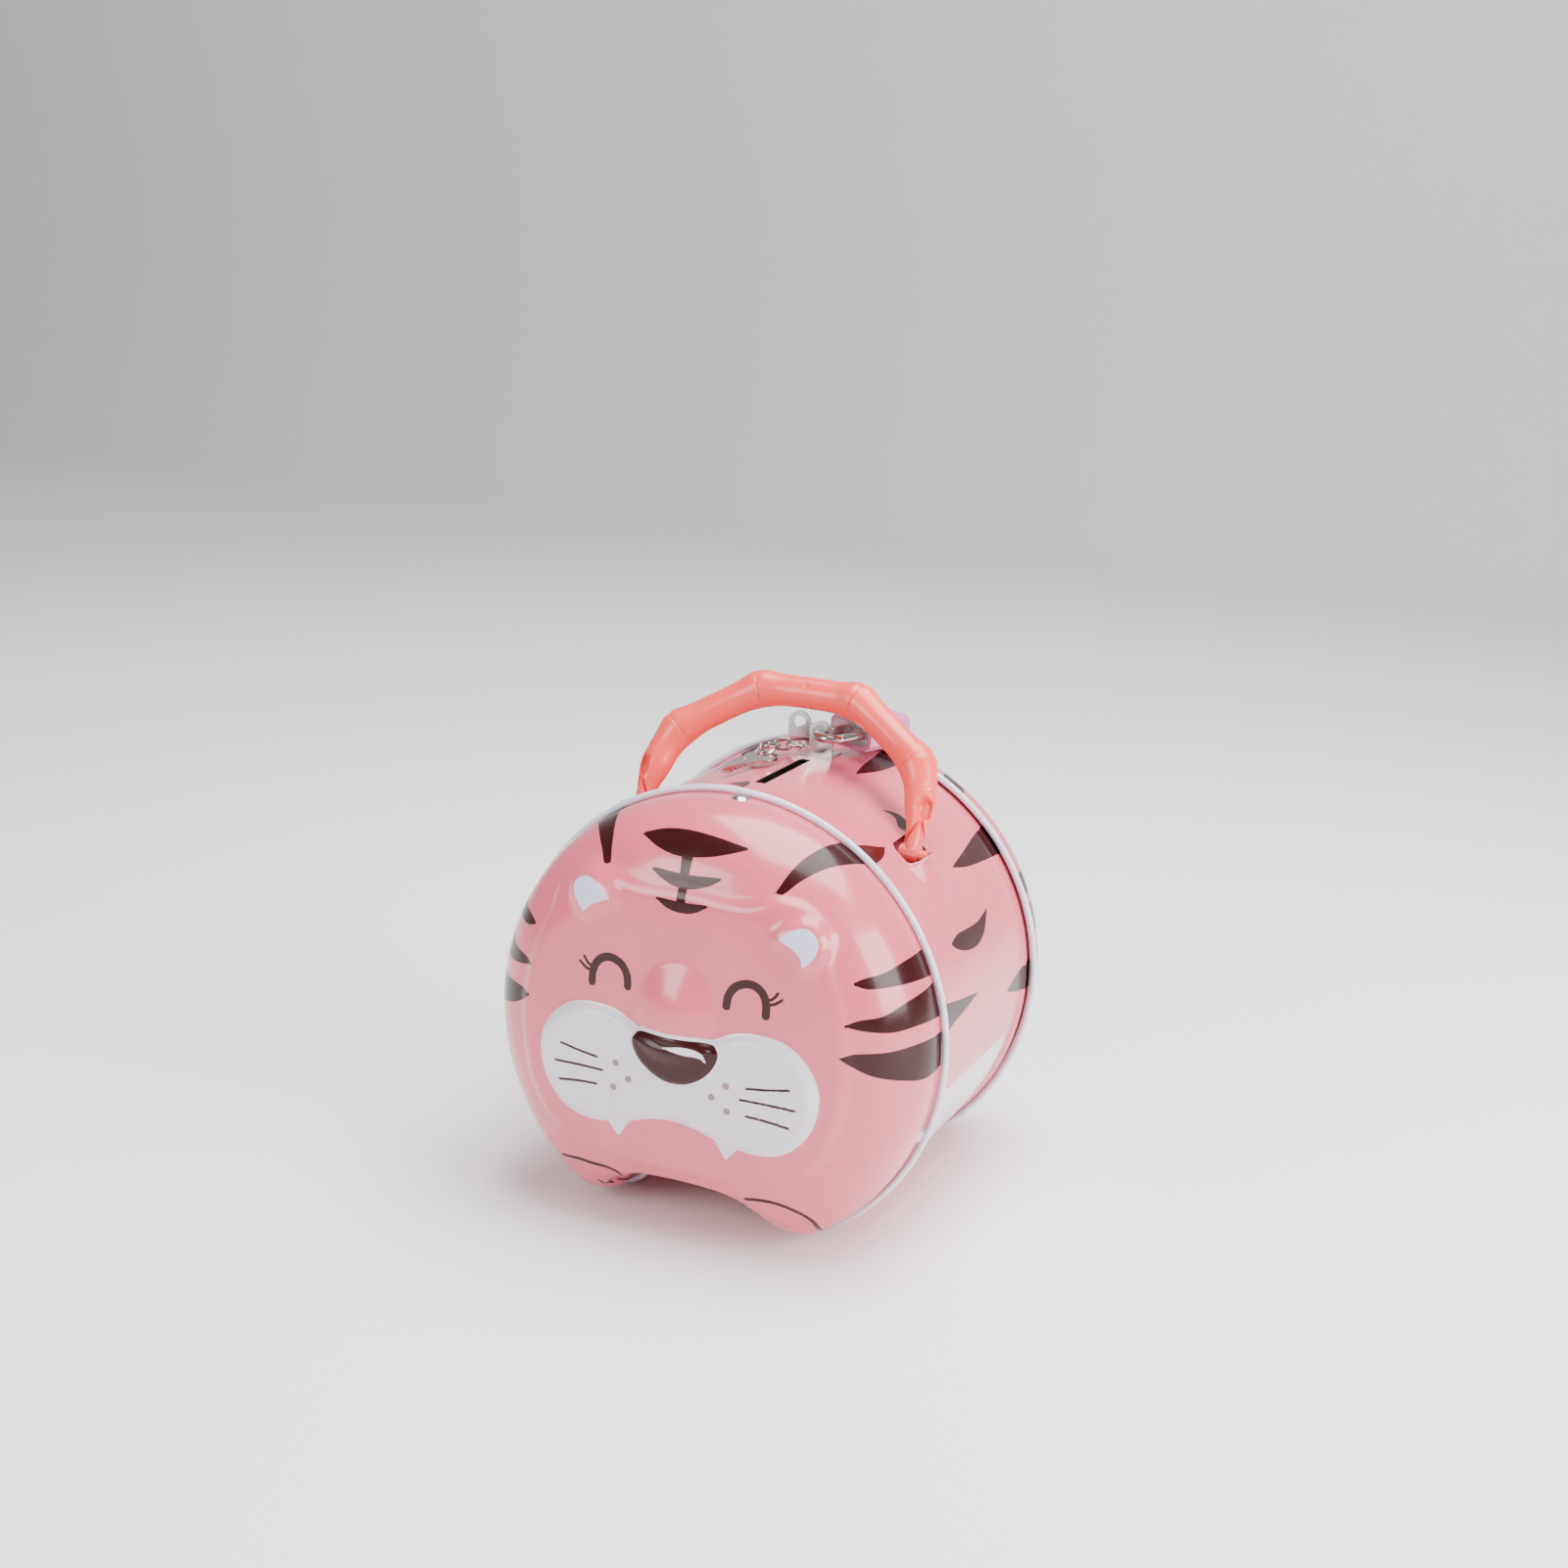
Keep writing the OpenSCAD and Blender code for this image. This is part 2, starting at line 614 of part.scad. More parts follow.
// One oval link of round wire, lying flat along x.
module link() {
    r = link_w / 2 - wire_r;
    half = link_l / 2 - link_w / 2;
    for (side = [-1, 1]) {
        translate([-half, side * r, 0]) rotate([0, 90, 0]) cylinder(h = 2 * half, r = wire_r);
        translate([side * half, 0, 0]) rotate([0, 0, side * -90])
            rotate_extrude(angle = 180) translate([r, 0]) circle(r = wire_r, $fn = 24);
    }
}
// The chain starts in the wing's hole and lies over the drum in a bend.
link_reach = link_l / 2 - wire_r * 2 - 0.15;
link_headings = [180, 205, 235, 270];
link_fall = 0.2;
last_link = len(link_headings) - 1;
function way(turn) = [cos(turn), sin(turn)];
function link_spot(k) = k == 0
    ? [wing_x, eye_y] + (link_l / 2 - wire_r) * way(link_headings[0])
    : link_spot(k - 1) + link_reach * (way(link_headings[k - 1]) + way(link_headings[k]));
module key_chain() {
    color("silver") at_axis() for (k = [0:last_link]) {
        spot = link_spot(k);
        translate([spot[0], spot[1], wing_z - k * link_fall])
            rotate([0, 0, link_headings[k]]) rotate([k % 2 * 90, 0, 0]) link();
    }
}
// The split ring joins the last link to the hole in the key's bow.
ring_r = 4.5;
ring_turn = -60;
ring_tilt = 30;
ring_spot = link_spot(last_link)
    + (link_reach - 0.8) * way(link_headings[last_link]) + ring_r * way(ring_turn);
ring_z = wing_z - link_fall * last_link;
key_hole_spot = ring_spot + ring_r * way(ring_turn);
module key_ring() {
    color("silver") at_axis() translate([ring_spot[0], ring_spot[1], ring_z])
        rotate([0, 0, ring_turn]) rotate([ring_tilt, 0, 0])
            rotate_extrude() translate([ring_r, 0]) circle(r = wire_r, $fn = 24);
}
key_t = 0.8;
key_hole_r = 2.3;
key_turn = -101;
module key() {
    blade_w = 2.6;
    color("silver") at_axis()
    translate([key_hole_spot[0], key_hole_spot[1], ring_z])
        rotate([0, 0, key_turn]) rotate([0, 4, 0]) difference() {
            union() {
                translate([bow_r - 3, 0, -key_t / 2]) cylinder(h = key_t, r = bow_r);
                translate([2 * bow_r - 4, -blade_w / 2, -key_t / 2])
                    cube([blade_l + 1, blade_w, key_t]);
            }
            translate([0, 0, -key_t]) cylinder(h = 2 * key_t, r = key_hole_r);
            for (k = [0:3])
                translate([2 * bow_r - 3 + blade_l * (0.35 + 0.17 * k), blade_w / 2 - 0.7, -key_t])
                    cube([1, 1, 2 * key_t]);
        }
}

drum_shell();
front_cap();
front_cap_rivets();
rear_lid();
hinge_leaf_drum();
hinge_leaf_lid();
hinge_pin();
hinge_rivets_drum();
hinge_rivets_lid();
lock_eye_drum();
lock_eye_drum_rivets();
lock_eye_lid();
lock_eye_lid_rivets();
padlock_case();
padlock_jacket();
padlock_shackle();
padlock_cylinder();
padlock_latch();
padlock_latch_spring();
key_chain();
key_ring();
key();
handle();
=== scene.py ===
import math

import bpy
import numpy as np
from mathutils import Matrix, Vector


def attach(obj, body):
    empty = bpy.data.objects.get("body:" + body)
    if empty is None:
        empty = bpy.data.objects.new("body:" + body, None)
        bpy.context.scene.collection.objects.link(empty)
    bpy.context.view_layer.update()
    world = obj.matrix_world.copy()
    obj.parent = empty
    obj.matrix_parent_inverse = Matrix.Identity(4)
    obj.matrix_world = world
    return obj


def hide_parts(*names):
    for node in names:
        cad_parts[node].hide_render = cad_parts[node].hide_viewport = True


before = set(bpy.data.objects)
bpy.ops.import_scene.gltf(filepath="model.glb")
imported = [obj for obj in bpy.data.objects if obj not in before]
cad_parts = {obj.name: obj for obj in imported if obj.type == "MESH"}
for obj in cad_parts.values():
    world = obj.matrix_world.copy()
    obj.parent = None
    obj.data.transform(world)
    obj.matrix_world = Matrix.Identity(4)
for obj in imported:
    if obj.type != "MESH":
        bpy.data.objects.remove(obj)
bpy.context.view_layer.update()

# ---- camera ------------------------------------------------------------------
# Low and to the right of the face, about two hand spans away.
MM = 0.001
axis_z = 56.4
az, el, roll = (math.radians(a) for a in (22.868, 14.337, 3.044))
back = Vector((math.sin(az) * math.cos(el), -math.cos(az) * math.cos(el), math.sin(el)))
right = Vector((0, 0, 1)).cross(back).normalized()
up = back.cross(right)
cam_right = math.cos(roll) * right + math.sin(roll) * up
cam_up = -math.sin(roll) * right + math.cos(roll) * up
camera = bpy.data.objects.new("camera", bpy.data.cameras.new("camera"))
camera.data.sensor_width = 36
camera.data.lens = 51.72
camera.data.clip_end = 20
spot = Vector((0, 0, axis_z)) + 1.362 * cam_right + 56.57 * cam_up + 657.6 * back
axes = Matrix((cam_right, cam_up, back)).transposed()
camera.matrix_world = Matrix.Translation(spot * MM) @ axes.to_4x4()
bpy.context.collection.objects.link(camera)
bpy.context.scene.camera = camera

# ---- floor and light -----------------------------------------------------------
# A pale matt sweep that runs up behind the box, and large soft lamps.
def new_material(name):
    """A material with a plain surface shader; returns the material, its nodes and links."""
    m = bpy.data.materials.new(name)
    m.use_nodes = True
    return m, m.node_tree.nodes, m.node_tree.links


floor_paint, nodes, links = new_material("floor_paper")
nodes["Principled BSDF"].inputs["Base Color"].default_value = (0.93, 0.93, 0.93, 1)
nodes["Principled BSDF"].inputs["Roughness"].default_value = 0.6
bend = 0.5
run = [(-2.5, 0.0), (1.2, 0.0)]
run += [(1.2 + bend * math.sin(q), bend - bend * math.cos(q)) for q in np.linspace(0.1, math.pi / 2, 12)]
run += [(1.2 + bend, 3.0)]
sweep = bpy.data.meshes.new("floor")
verts = [(x, y, z) for y, z in run for x in (-3.0, 3.0)]
sweep.from_pydata(verts, [], [(2 * i, 2 * i + 1, 2 * i + 3, 2 * i + 2) for i in range(len(run) - 1)])
for face in sweep.polygons:
    face.use_smooth = True
sweep.materials.append(floor_paint)
floor = bpy.data.objects.new("floor", sweep)
bpy.context.collection.objects.link(floor)


def lamp(name, place, aim, size, power, tint=(1, 1, 1)):
    """A square soft box at place, turned to aim."""
    data = bpy.data.lights.new(name, "AREA")
    data.size = size
    data.energy = power
    data.color = tint
    thing = bpy.data.objects.new(name, data)
    thing.matrix_world = (Matrix.Translation(Vector(place))
                          @ (Vector(place) - Vector(aim)).to_track_quat("Z", "Y").to_matrix().to_4x4())
    bpy.context.collection.objects.link(thing)


lamp("top_box", (0.15, 0.1, 0.95), (0, 0, 0.06), 0.8, 22)
lamp("right_box", (0.95, -0.15, 0.42), (0, 0, 0.07), 0.6, 15)
lamp("front_box", (-0.55, -1.1, 0.55), (0, 0, 0.06), 0.6, 10)
world = bpy.data.worlds.new("studio")
world.use_nodes = True
world.node_tree.nodes["Background"].inputs["Color"].default_value = (1, 1, 1, 1)
world.node_tree.nodes["Background"].inputs["Strength"].default_value = 0.32
bpy.context.scene.world = world

# ---- printed sheet: how tinplate is made here ------------------------------------
# Every sheet is a fine grid that carries, beside its place, the place on the flat
# blank it was printed as.  Print is cut into the grid along its outlines.
body_r = 63.5
rim_y = 38.2
tin = 0.4
foot_drop = 53.6
turn = math.radians


def arc(cx, cz, r, a0, a1, n, side, out):
    """Points of an arc whose radius grows (side 1) or shrinks (side -1) with out."""
    q = np.linspace(turn(a0), turn(a1), n + 1)
    r = r + side * out
    return np.stack([cx + r * np.cos(q), cz + r * np.sin(q)], 1)


def outline(out):
    """The drum's section, grown by out: a circle, two feet and the arch between them."""
    foot_r, foot_flat, rise, flat, instep = 7.5, 2.0, 9.5, 14.0, 8.0
    foot_cz = foot_r - foot_drop
    foot_cx = math.sqrt((body_r - foot_r) ** 2 - foot_cz ** 2)
    instep_x = foot_cx - foot_flat
    bend = 2 * math.degrees(math.atan2(rise, instep_x - flat))
    bow_r = rise / (1 - math.cos(turn(bend))) - instep
    foot_a = math.degrees(math.atan2(foot_cz, foot_cx))
    parts = [
        arc(0, 0, body_r, 90, foot_a, 150, 1, out)[1:],
        arc(foot_cx, foot_cz, foot_r, foot_a, -90, 18, 1, out)[1:],
        np.stack([np.linspace(foot_cx, instep_x, 5)[1:-1], np.full(3, -foot_drop - out)], 1),
        arc(instep_x, instep - foot_drop, instep, -90, -90 - bend, 14, 1, out),
        arc(flat, rise - foot_drop - bow_r, bow_r, 90 - bend, 90, 14, -1, out)[1:],
        np.stack([np.linspace(flat, 0, 6)[1:-1], np.full(4, rise - foot_drop - out)], 1),
    ]
    half = np.concatenate(parts)
    left = half[::-1] * (-1, 1)
    return np.concatenate([[(0, body_r + out)], half, [(0, rise - foot_drop - out)], left])


def grid_faces(rows, columns):
    """Triangles of a grid whose rows close into rings."""
    i, j = np.meshgrid(np.arange(columns), np.arange(rows - 1))
    a, b = j * columns + i, j * columns + (i + 1) % columns
    c, d = a + columns, b + columns
    one = np.stack([a, b, d], -1).reshape(-1, 3)
    two = np.stack([a, d, c], -1).reshape(-1, 3)
    return np.concatenate([one, two])


def inside(p, loop):
    """Distance of each flat point to a closed outline, positive inside it."""
    a = np.asarray(loop, float)
    value = np.full(len(p), -50.0)
    near = np.all((p > a.min(0) - 12) & (p < a.max(0) + 12), 1)
    q = p[near]
    best = np.full(len(q), 1e9)
    within = np.zeros(len(q), bool)
    for (ax, ay), (bx, by) in zip(a, np.roll(a, -1, 0)):
        ex, ey = bx - ax, by - ay
        wx, wy = q[:, 0] - ax, q[:, 1] - ay
        t = np.clip((wx * ex + wy * ey) / max(ex * ex + ey * ey, 1e-9), 0, 1)
        best = np.minimum(best, (wx - ex * t) ** 2 + (wy - ey * t) ** 2)
        cross = (ay > q[:, 1]) != (by > q[:, 1])
        if ey:
            within ^= cross & (wx < ex * wy / ey)
    value[near] = np.where(within, 1, -1) * np.sqrt(best)
    return value


def along(p, line, half):
    """Positive within a stroke of that half width along an open line."""
    a = np.asarray(line, float)
    value = np.full(len(p), -50.0)
    near = np.all((p > a.min(0) - 6) & (p < a.max(0) + 6), 1)
    q = p[near]
    best = np.full(len(q), 1e9)
    for (ax, ay), (bx, by) in zip(a[:-1], a[1:]):
        ex, ey = bx - ax, by - ay
        t = np.clip(((q[:, 0] - ax) * ex + (q[:, 1] - ay) * ey) / (ex * ex + ey * ey), 0, 1)
        best = np.minimum(best, np.hypot(q[:, 0] - ax - ex * t, q[:, 1] - ay - ey * t))
    value[near] = half - best
    return value


def curve(points, closed=False, steps=6):
    """A smooth line through the points."""
    p = [np.array(q, float) for q in points]
    p = [p[-1]] + p + p[:2] if closed else [2 * p[0] - p[1]] + p + [2 * p[-1] - p[-2]]
    line = []
    for a, b, c, d in zip(p, p[1:], p[2:], p[3:]):
        for k in range(steps):
            t = k / steps
            line.append(0.5 * (2 * b + (c - a) * t + (2 * a - 5 * b + 4 * c - d) * t * t
                               + (3 * b - a - 3 * c + d) * t ** 3))
    if not closed:
        line.append(p[-2])
    return np.array(line)


def leaf(one, two):
    """An outline with two points: one edge there, the other edge back."""
    return np.concatenate([curve(one), curve(two)[::-1][1:-1]])


def flip(points):
    """The same points on the other side of the middle."""
    return [(-x, y) for x, y in points]


def cut_along(table, tris, value):
    """Splits the triangles where value changes sign, along its zero line."""
    value = np.where(np.abs(value) < 1e-3, 1e-3, value)
    up_side = (value > 0)[tris]
    count = up_side.sum(1)
    mixed = (count == 1) | (count == 2)
    t = tris[mixed]
    odd = np.where(count[mixed][:, None] == 1, up_side[mixed], ~up_side[mixed]).argmax(1)
    row = np.arange(len(t))
    a, b, c = t[row, odd], t[row, (odd + 1) % 3], t[row, (odd + 2) % 3]
    pairs = np.sort(np.concatenate([np.stack([a, b], 1), np.stack([a, c], 1)]), 1)
    edges, which = np.unique(pairs, axis=0, return_inverse=True)
    which = which.ravel() + len(table)
    v0, v1 = value[edges[:, 0]], value[edges[:, 1]]
    share = (v0 / (v0 - v1))[:, None]
    fresh = table[edges[:, 0]] * (1 - share) + table[edges[:, 1]] * share
    ab, ac = which[:len(t)], which[len(t):]
    new = [np.stack(s, 1) for s in ((a, ab, ac), (ab, b, c), (ab, c, ac))]
    return np.concatenate([table, fresh]), np.concatenate([tris[~mixed]] + new)


def normals_of(points, tris):
    """Area-weighted directions of the points."""
    p = points[tris]
    n = np.cross(p[:, 1] - p[:, 0], p[:, 2] - p[:, 0])
    total = np.zeros_like(points)
    for k in range(3):
        np.add.at(total, tris[:, k], n)
    return total / np.maximum(np.linalg.norm(total, axis=1), 1e-12)[:, None]


def make_sheet(name, table, tris, prints, holes, relief, paints, body, slot_name, nodes_gone):
    """Cuts holes and prints into a sheet, presses its relief and gives it its thickness.

    prints is a list of (paint number, field); a field takes the table and is positive
    inside its shape.  relief takes the table and gives the height of the pressing.
    """
    n = normals_of(table[:, :3], tris)
    points = table[:, :3] + n * relief(table)[:, None]
    table = np.concatenate([table, points, normals_of(points, tris)], 1)
    for field in [f for _, f in prints] + holes:
        table, tris = cut_along(table, tris, field(table))
    middle = table[tris].mean(1)
    keep = np.ones(len(tris), bool)
    for field in holes:
        keep &= field(middle) < 0
    tris, middle = tris[keep], middle[keep]
    paint = np.zeros(len(tris), int)
    for number, field in prints:
        paint[field(middle) > 0] = number
    points, n = table[:, 5:8], table[:, 8:11]
    n = n / np.maximum(np.linalg.norm(n, axis=1), 1e-9)[:, None]
    lone = np.sort(np.concatenate([tris[:, [0, 1]], tris[:, [1, 2]], tris[:, [2, 0]]]), 1)
    ways = np.concatenate([tris[:, [0, 1]], tris[:, [1, 2]], tris[:, [2, 0]]])
    _, first, count = np.unique(lone, axis=0, return_index=True, return_counts=True)
    rim = ways[first[count == 1]]
    size = len(points)
    rim_faces = np.concatenate([np.stack([rim[:, 1], rim[:, 0], rim[:, 0] + size], 1),
                                np.stack([rim[:, 1], rim[:, 0] + size, rim[:, 1] + size], 1)])
    both = np.concatenate([points, points - n * tin])
    faces = np.concatenate([tris, tris[:, ::-1] + size, rim_faces])
    last = len(paints) - 1
    paint = np.concatenate([paint, np.full(len(tris) + len(rim_faces), last)])
    flat = np.cross(both[rim_faces[:, 1]] - both[rim_faces[:, 0]],
                    both[rim_faces[:, 2]] - both[rim_faces[:, 0]])
    flat /= np.maximum(np.linalg.norm(flat, axis=1), 1e-12)[:, None]
    corner_normals = np.concatenate([n[tris].reshape(-1, 3), -n[tris[:, ::-1]].reshape(-1, 3),
                                     np.repeat(flat, 3, 0)])
    both[:, 2] += axis_z
    return mesh_object(name, both, faces, paints, paint, corner_normals, body, nodes_gone)


def mesh_object(name, points, faces, paints, paint, corner_normals, body, nodes_gone):
    """A smooth-shaded mesh in millimetres, put on its body in place of CAD nodes."""
    mesh = bpy.data.meshes.new(name)
    mesh.from_pydata((points * MM).tolist(), [], faces.tolist() if hasattr(faces, "tolist") else faces)
    for m in paints:
        mesh.materials.append(m)
    mesh.polygons.foreach_set("material_index", np.asarray(paint, dtype=np.int32))
    mesh.polygons.foreach_set("use_smooth", np.ones(len(faces), bool))
    mesh.update()
    if corner_normals is not None:
        mesh.normals_split_custom_set(corner_normals.tolist())
    thing = bpy.data.objects.new(name, mesh)
    bpy.context.collection.objects.link(thing)
    if nodes_gone:
        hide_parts(*nodes_gone)
    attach(thing, body)
    return thing


def surface(name, colour, rough, metal=0.0, coat=0.0, bump=0.0, bump_mm=1.2, fleck=0.04,
            scratch=0.0, soft=0.0, spread=0.05, gloss=0.5):
    """A worn real surface: colour and gloss drift a little, with a fine texture in mm."""
    m, nodes, links = new_material(name)
    bsdf = nodes["Principled BSDF"]
    place = nodes.new("ShaderNodeTexCoord")

    def noise(size_mm, detail):
        n = nodes.new("ShaderNodeTexNoise")
        n.inputs["Scale"].default_value = 1000.0 / size_mm
        n.inputs["Detail"].default_value = detail
        links.new(place.outputs["Object"], n.inputs["Vector"])
        return n.outputs["Fac"]

    def remap(source, low, high):
        r = nodes.new("ShaderNodeMapRange")
        r.inputs["From Min"].default_value = 0.3
        r.inputs["From Max"].default_value = 0.7
        r.inputs["To Min"].default_value = low
        r.inputs["To Max"].default_value = high
        links.new(source, r.inputs["Value"])
        return r.outputs["Result"]

    mix = nodes.new("ShaderNodeMix")
    mix.data_type = "RGBA"
    mix.inputs[6].default_value = tuple(c * (1 - fleck) for c in colour) + (1,)
    mix.inputs[7].default_value = tuple(min(1, c * (1 + fleck)) for c in colour) + (1,)
    links.new(remap(noise(18, 4), 0, 1), mix.inputs[0])
    links.new(mix.outputs[2], bsdf.inputs["Base Color"])
    links.new(remap(noise(6, 6), max(0.02, rough - spread), rough + spread), bsdf.inputs["Roughness"])
    bsdf.inputs["Metallic"].default_value = metal
    bsdf.inputs["Coat Weight"].default_value = coat
    bsdf.inputs["Coat Roughness"].default_value = 0.06
    bsdf.inputs["Specular IOR Level"].default_value = gloss
    if soft:
        bsdf.inputs["Subsurface Weight"].default_value = soft
        bsdf.inputs["Subsurface Radius"].default_value = (1.0, 0.35, 0.25)
        bsdf.inputs["Subsurface Scale"].default_value = 0.003
    height = noise(bump_mm, 3)
    if scratch:
        stretch = nodes.new("ShaderNodeMapping")
        stretch.inputs["Scale"].default_value = (1, 14, 1)
        stretch.inputs["Rotation"].default_value = (0.3, 0.2, 0.5)
        links.new(place.outputs["Object"], stretch.inputs["Vector"])
        lines = nodes.new("ShaderNodeTexNoise")
        lines.inputs["Scale"].default_value = 260
        lines.inputs["Detail"].default_value = 8
        links.new(stretch.outputs["Vector"], lines.inputs["Vector"])
        add = nodes.new("ShaderNodeMath")
        add.operation = "MULTIPLY_ADD"
        add.inputs[1].default_value = scratch
        links.new(lines.outputs["Fac"], add.inputs[0])
        links.new(height, add.inputs[2])
        height = add.outputs[0]
    if bump:
        b = nodes.new("ShaderNodeBump")
        b.inputs["Strength"].default_value = 1.0
        b.inputs["Distance"].default_value = bump * MM
        links.new(height, b.inputs["Height"])
        links.new(b.outputs["Normal"], bsdf.inputs["Normal"])
    return m


pink = (0.70, 0.115, 0.17)
pink_lacquer = surface("pink_lacquer", pink, 0.24, coat=0.35, bump=0.012, bump_mm=1.6)
brown_print = surface("brown_print", (0.032, 0.0025, 0.0035), 0.22, coat=0.12, bump=0.012, bump_mm=1.6,
                      gloss=0.25)
pale_print = surface("pale_print", (0.66, 0.61, 0.69), 0.26, coat=0.35, bump=0.012, bump_mm=1.6)
ear_print = surface("ear_print", (0.60, 0.60, 0.80), 0.26, coat=0.35, bump=0.012, bump_mm=1.6)
dot_print = surface("dot_print", (0.26, 0.14, 0.15), 0.3, coat=0.3, bump=0.012, bump_mm=1.6)
bare_tin = surface("bare_tin", (0.55, 0.54, 0.52), 0.34, metal=1.0, bump=0.006, scratch=0.5)
paints = [pink_lacquer, brown_print, pale_print, ear_print, dot_print, bare_tin]
PINK, BROWN, PALE, EAR, DOT = range(5)


def flat_of(table):
    return table[:, 3:5]


def front_of(table):
    return table[:, [0, 2]]


def printed(paint, loop, grow=0.0, see=flat_of):
    """A print of an outline, grown a little so that its corners round off."""
    return paint, lambda table: inside(see(table), loop) + grow


def stroked(paint, line, half, see=flat_of):
    return paint, lambda table: along(see(table), line, half)


def pressed(depth, width, height):
    """Height of a pressing at a depth inside its outline; its wall is width wide."""
    t = np.clip(depth / width, 0, 1)
    return height * t * t * (3 - 2 * t)


# ---- caps --------------------------------------------------------------------
# A cap is drawn from one round blank: domed face, wide shoulder, straight skirt.
cap_depth, dome_fall, shoulder_r, edge_in = 30.4, 6.4, 19.6, 2.5


def eased(values, turns, reach=13):
    """Running mean of a closed row of values that gains turns after one round."""
    long = np.concatenate([values[-reach:] - turns, values, values[:reach] + turns])
    return np.convolve(long, np.full(2 * reach + 1, 1 / (2 * reach + 1)), mode="valid")


def cap_grid(skirt, toward):
    """The cap's outside: columns run from the crown over the shoulder to the rim."""
    rings = [(skirt - shoulder_r, 0, m, None) for m in np.linspace(0.02, 1, 55)]
    rings += [(skirt - shoulder_r * (1 - math.cos(q)), shoulder_r * (1 - math.sin(q)), 1, None)
              for q in np.linspace(math.pi / 2, 0, 41)[1:]]
    rings += [(skirt, 0, 1, d) for d in (3.4, 2.4, 1.4, 0.5)]
    # Further in than edge_in the rings lose the corners of the feet and the arch.
    inner = outline(-edge_in)
    length = np.linalg.norm(inner, axis=1)
    heading = np.unwrap(np.arctan2(inner[:, 1], inner[:, 0]))
    whole = math.copysign(2 * math.pi, heading[-1] - heading[0])
    soft_heading, soft_length = eased(eased(heading, whole), whole), eased(eased(length, 0), 0)
    rows = []
    for out, drop, spread, fixed in rings:
        p = outline(out)
        if out <= -edge_in:
            share = min(1, (-out - edge_in) / 9)
            share = share * share * (3 - 2 * share)
            way = heading + (soft_heading - heading) * share
            far = length + (soft_length - length) * share + out + edge_in
            p = np.stack([far * np.cos(way), far * np.sin(way)], 1)
        p = p * spread
        depth = cap_depth - dome_fall * (p ** 2).sum(1) / body_r ** 2 - drop
        if fixed is not None:
            depth = np.minimum(np.full(len(p), fixed), rows[-1][:, 1])
        rows.append(np.stack([p[:, 0], depth, p[:, 1]], 1))
    rows = np.array(rows)
    heading = rows[54][:, [0, 2]] / np.linalg.norm(rows[54][:, [0, 2]], axis=1)[:, None]
    steps = np.linalg.norm(np.diff(rows, axis=0), axis=2)
    run_out = np.concatenate([np.linalg.norm(rows[0][:, [0, 2]], axis=1)[None], steps]).cumsum(0)
    flat = heading[None] * run_out[..., None]
    table = np.concatenate([rows, flat], 2).reshape(-1, 5)
    crown = [[0, cap_depth, 0, 0, 0]]
    columns = rows.shape[1]
    tris = grid_faces(len(rows), columns)
    i = np.arange(columns)
    fan = np.stack([np.full(columns, len(table)), (i + 1) % columns, i], 1)
    tris = np.concatenate([tris, fan])
    table = np.concatenate([table, crown])
    table[:, 1] = toward * (rim_y + table[:, 1])
    # Faces must look outwards on either cap.
    outwards = normals_of(table[:, :3], tris)[-1, 1] * toward > 0
    return table, tris if outwards else tris[:, ::-1]


def cheek_stripes():
    """The four stripes that run from the face over the shoulder to the rim."""
    a = leaf([(24.6, 47.2), (27.9, 54.4), (31.7, 60.1), (36.3, 65.5), (42.5, 72.3), (46, 76)],
             [(24.6, 47.2), (26.2, 47.2), (30.0, 51.4), (35.6, 56.2), (41, 59.6), (51.5, 65.8), (56, 69)])
    b = leaf([(47.6, 26.0), (50.1, 27.3), (55.6, 29.2), (62.1, 32.9), (71.5, 38.0), (78, 42)],
             [(47.6, 26.0), (51.8, 25.2), (58.4, 26.2), (66.5, 28.0), (77.0, 30.6), (84, 33)])
    c = leaf([(46.6, 15.0), (50.3, 16.4), (56.4, 17.7), (64.2, 21.9), (77.0, 27.5), (84, 31)],
             [(46.6, 15.0), (51.2, 14.1), (59.1, 13.8), (68.8, 15.4), (79.7, 16.5), (88, 17.5)])
    d = leaf([(46.0, 6.4), (49.5, 7.3), (58.7, 7.9), (67.9, 9.3), (80.5, 10.6), (88, 11.5)],
             [(46.0, 6.4), (49.7, 4.0), (55.1, 1.7), (63.6, -0.2), (71.0, -1.5), (80.9, -0.8), (88, 0)])
    return [a, b, c, d]


def both_sides(loops):
    return loops + [np.array(flip(loop))[::-1] for loop in loops]


# The animal's face, printed and pressed.  Sizes are from the middle of the drum.
def ellipse(cx, cy, rx, ry, n=40):
    q = np.linspace(0, 2 * math.pi, n, endpoint=False)
    return np.stack([cx + rx * np.cos(q), cy + ry * np.sin(q)], 1)


left_ear = leaf([(-30.4, 33.8), (-33.2, 37.0), (-34.0, 40.0), (-31.0, 42.0), (-26.7, 41.1), (-23.3, 38.6)],
                [(-30.4, 33.8), (-28.6, 35.8), (-26.0, 37.2), (-23.3, 38.6)])
left_ear = (1.6, 0) + left_ear
right_ear = leaf([(33.4, 29.4), (35.6, 32.5), (35.6, 36.0), (32.6, 38.5), (29.3, 37.7), (26.6, 35.7)],
                 [(33.4, 29.4), (32.3, 32.0), (29.6, 34.2), (26.6, 35.7)])
right_ear = (1.2, 0) + right_ear
brow_top = leaf([(-17.2, 57.2), (-11.0, 59.4), (-4.0, 60.0), (4.0, 59.3), (14.2, 57.6)],
                [(-17.2, 57.2), (-10.8, 54.2), (-4.0, 52.8), (3.5, 53.7), (8.6, 55.2), (14.2, 57.6)])
brow_middle = leaf([(-10.8, 48.2), (-1.0, 47.7), (9.0, 48.2)],
                   [(-10.8, 48.2), (-7.6, 46.2), (-3.5, 44.8), (1.5, 44.8), (6.0, 46.3), (9.0, 48.2)])
